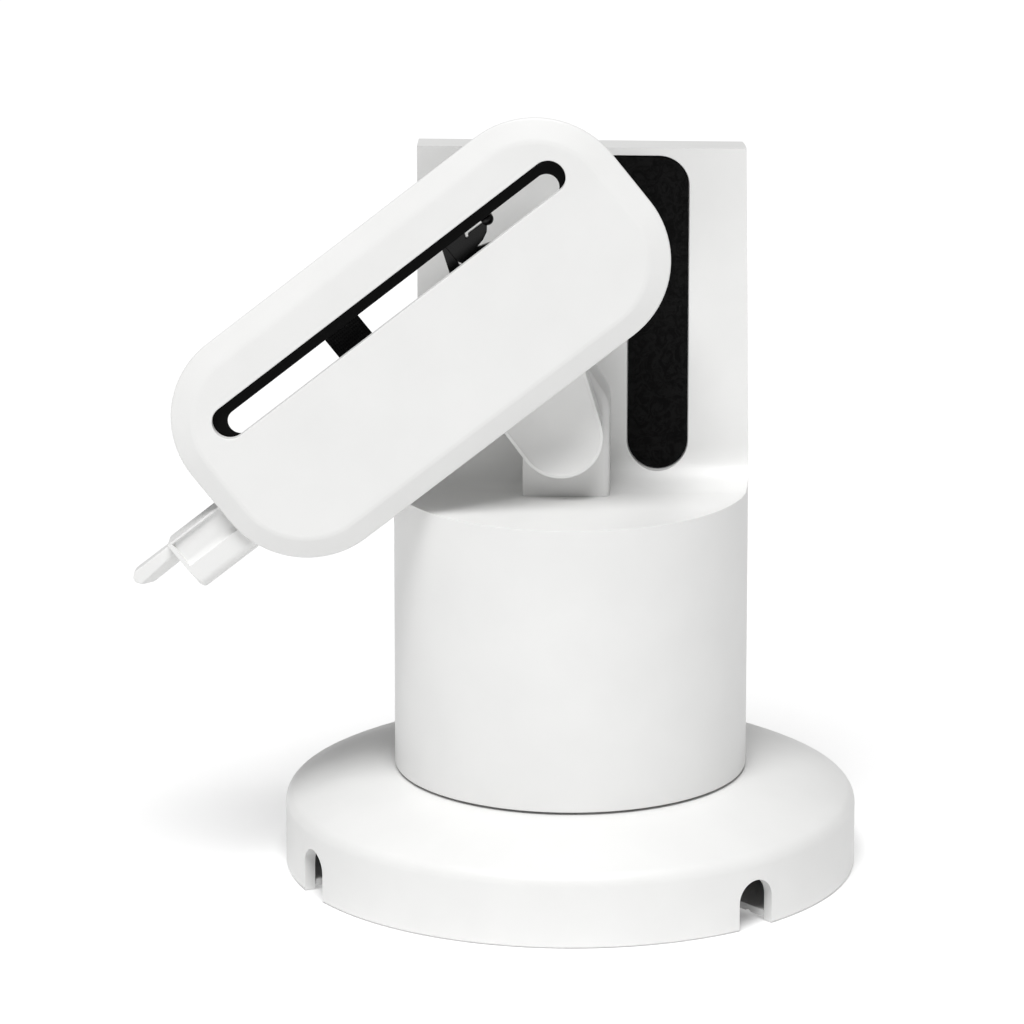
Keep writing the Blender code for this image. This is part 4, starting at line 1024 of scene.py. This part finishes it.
# ---- Tongue -------------------------------------------------------------------------------
# A flat white bar that pulls out of the bracket, with a round tip and its lower front edge
# planed away so that it goes under a terminal's edge.
tongue_outline = bend((-116.6 * mm, -7.1 * mm), 2.6 * mm, 90, 190, 8) \
    + [(-117.6 * mm, -9.6 * mm)] + bend((-114.6 * mm, -9.1 * mm), 2.2 * mm, 225, 270, 5) \
    + [(-86 * mm, -11.3 * mm), (-86 * mm, -4.5 * mm)]
tongue = traced("pull_out_tongue", tongue_outline, -35 * mm, -30 * mm)
bisect((-104 * mm, -35 * mm, -7.6 * mm), (0.07, -0.6, -0.8), drop=True)
bpy.ops.mesh.select_all(action="SELECT")
bpy.ops.mesh.normals_make_consistent(inside=False)
round_off(0.35 * mm, 3, lambda e: is_ridge(e, 25) and middle(e).x < -87 * mm
          and e.calc_length() > 0.2 * mm)
close(tongue, 40)
lean(tongue)
fit(tongue, "tongue", "white_plastic", white_plastic, "foot_tongue")

# ---- Works --------------------------------------------------------------------------------
# What holds it together inside: the cast weight, the swivel's spindle, bush and washers, the
# tilt pin's friction stack, and the bracket's rail. These keep their plain shapes.
turned_steel = satin_steel("turned_steel", (0.56, 0.57, 0.58), 0.28, (1, 1, 6))
spring_steel = satin_steel("spring_steel", (0.42, 0.42, 0.43), 0.34, (4, 1, 1))
rail_steel = satin_steel("rail_steel", (0.6, 0.61, 0.63), 0.36, (1, 1, 1))
cast_weight = satin_steel("cast_weight", (0.2, 0.2, 0.21), 0.55, (1, 1, 1))
bush_brass = satin_steel("bush_brass", (0.66, 0.49, 0.22), 0.3, (1, 1, 6))
natural_nylon = moulded("natural_nylon", (0.76, 0.74, 0.68), 0.45, tone_drift=0.08)
works = {
    turned_steel: ("spindle", "swivel_nut", "pivot_pin", "pivot_nut", "latch_pin"),
    spring_steel: ("wave_washer", "disc_spring", "latch_spring"),
    rail_steel: ("bracket_rail", "rail_rivet_1", "rail_rivet_2"),
    screw_steel: ("hub_screw_1", "hub_screw_2", "hub_screw_3", "block_screw_1", "block_screw_2",
                  "ear_screw_1", "ear_screw_2"),
    cast_weight: ("counterweight",),
    bush_brass: ("swivel_bush",),
    natural_nylon: ("thrust_washer", "friction_washer_front", "friction_washer_rear",
                    "rail_guide"),
    black_plastic: ("hub_plate",),
}
for material, names in works.items():
    for name in names:
        dress(frame["nodes"][name], material)

# ---- Studio -------------------------------------------------------------------------------
# A plain pale sweep under a large soft light from above the front, with a dim even surround.
bpy.ops.mesh.primitive_plane_add(size=12.0, location=(0, 0, 0))
floor = bpy.context.object
floor.name = "floor"
floor_paint = new_material("floor_paint", Base_Color=(0.85, 0.85, 0.85, 1), Roughness=0.9,
                           Specular_IOR_Level=0.0, Emission_Color=(1, 1, 1, 1),
                           Emission_Strength=0.2)[0]
floor.data.materials.append(floor_paint)

sky = bpy.data.worlds.new("studio")
sky.use_nodes = True
preset(sky.node_tree.nodes["Background"], Color=(1, 1, 1, 1), Strength=0.18)
bpy.context.scene.world = sky


def soft_sun(name, strength, spread, elevation, bearing):
    """A large soft light far away; bearing is measured to the right of the front."""
    lamp_data = bpy.data.lights.new(name, "SUN")
    lamp_data.energy = strength
    lamp_data.angle = math.radians(spread)
    lamp = bpy.data.objects.new(name, lamp_data)
    lamp.rotation_euler = (math.radians(90.0 - elevation), 0, math.radians(bearing))
    bpy.context.scene.collection.objects.link(lamp)


soft_sun("top_light", 2.95, 32, 62, -5)
bpy.context.scene.view_settings.view_transform = "Standard"
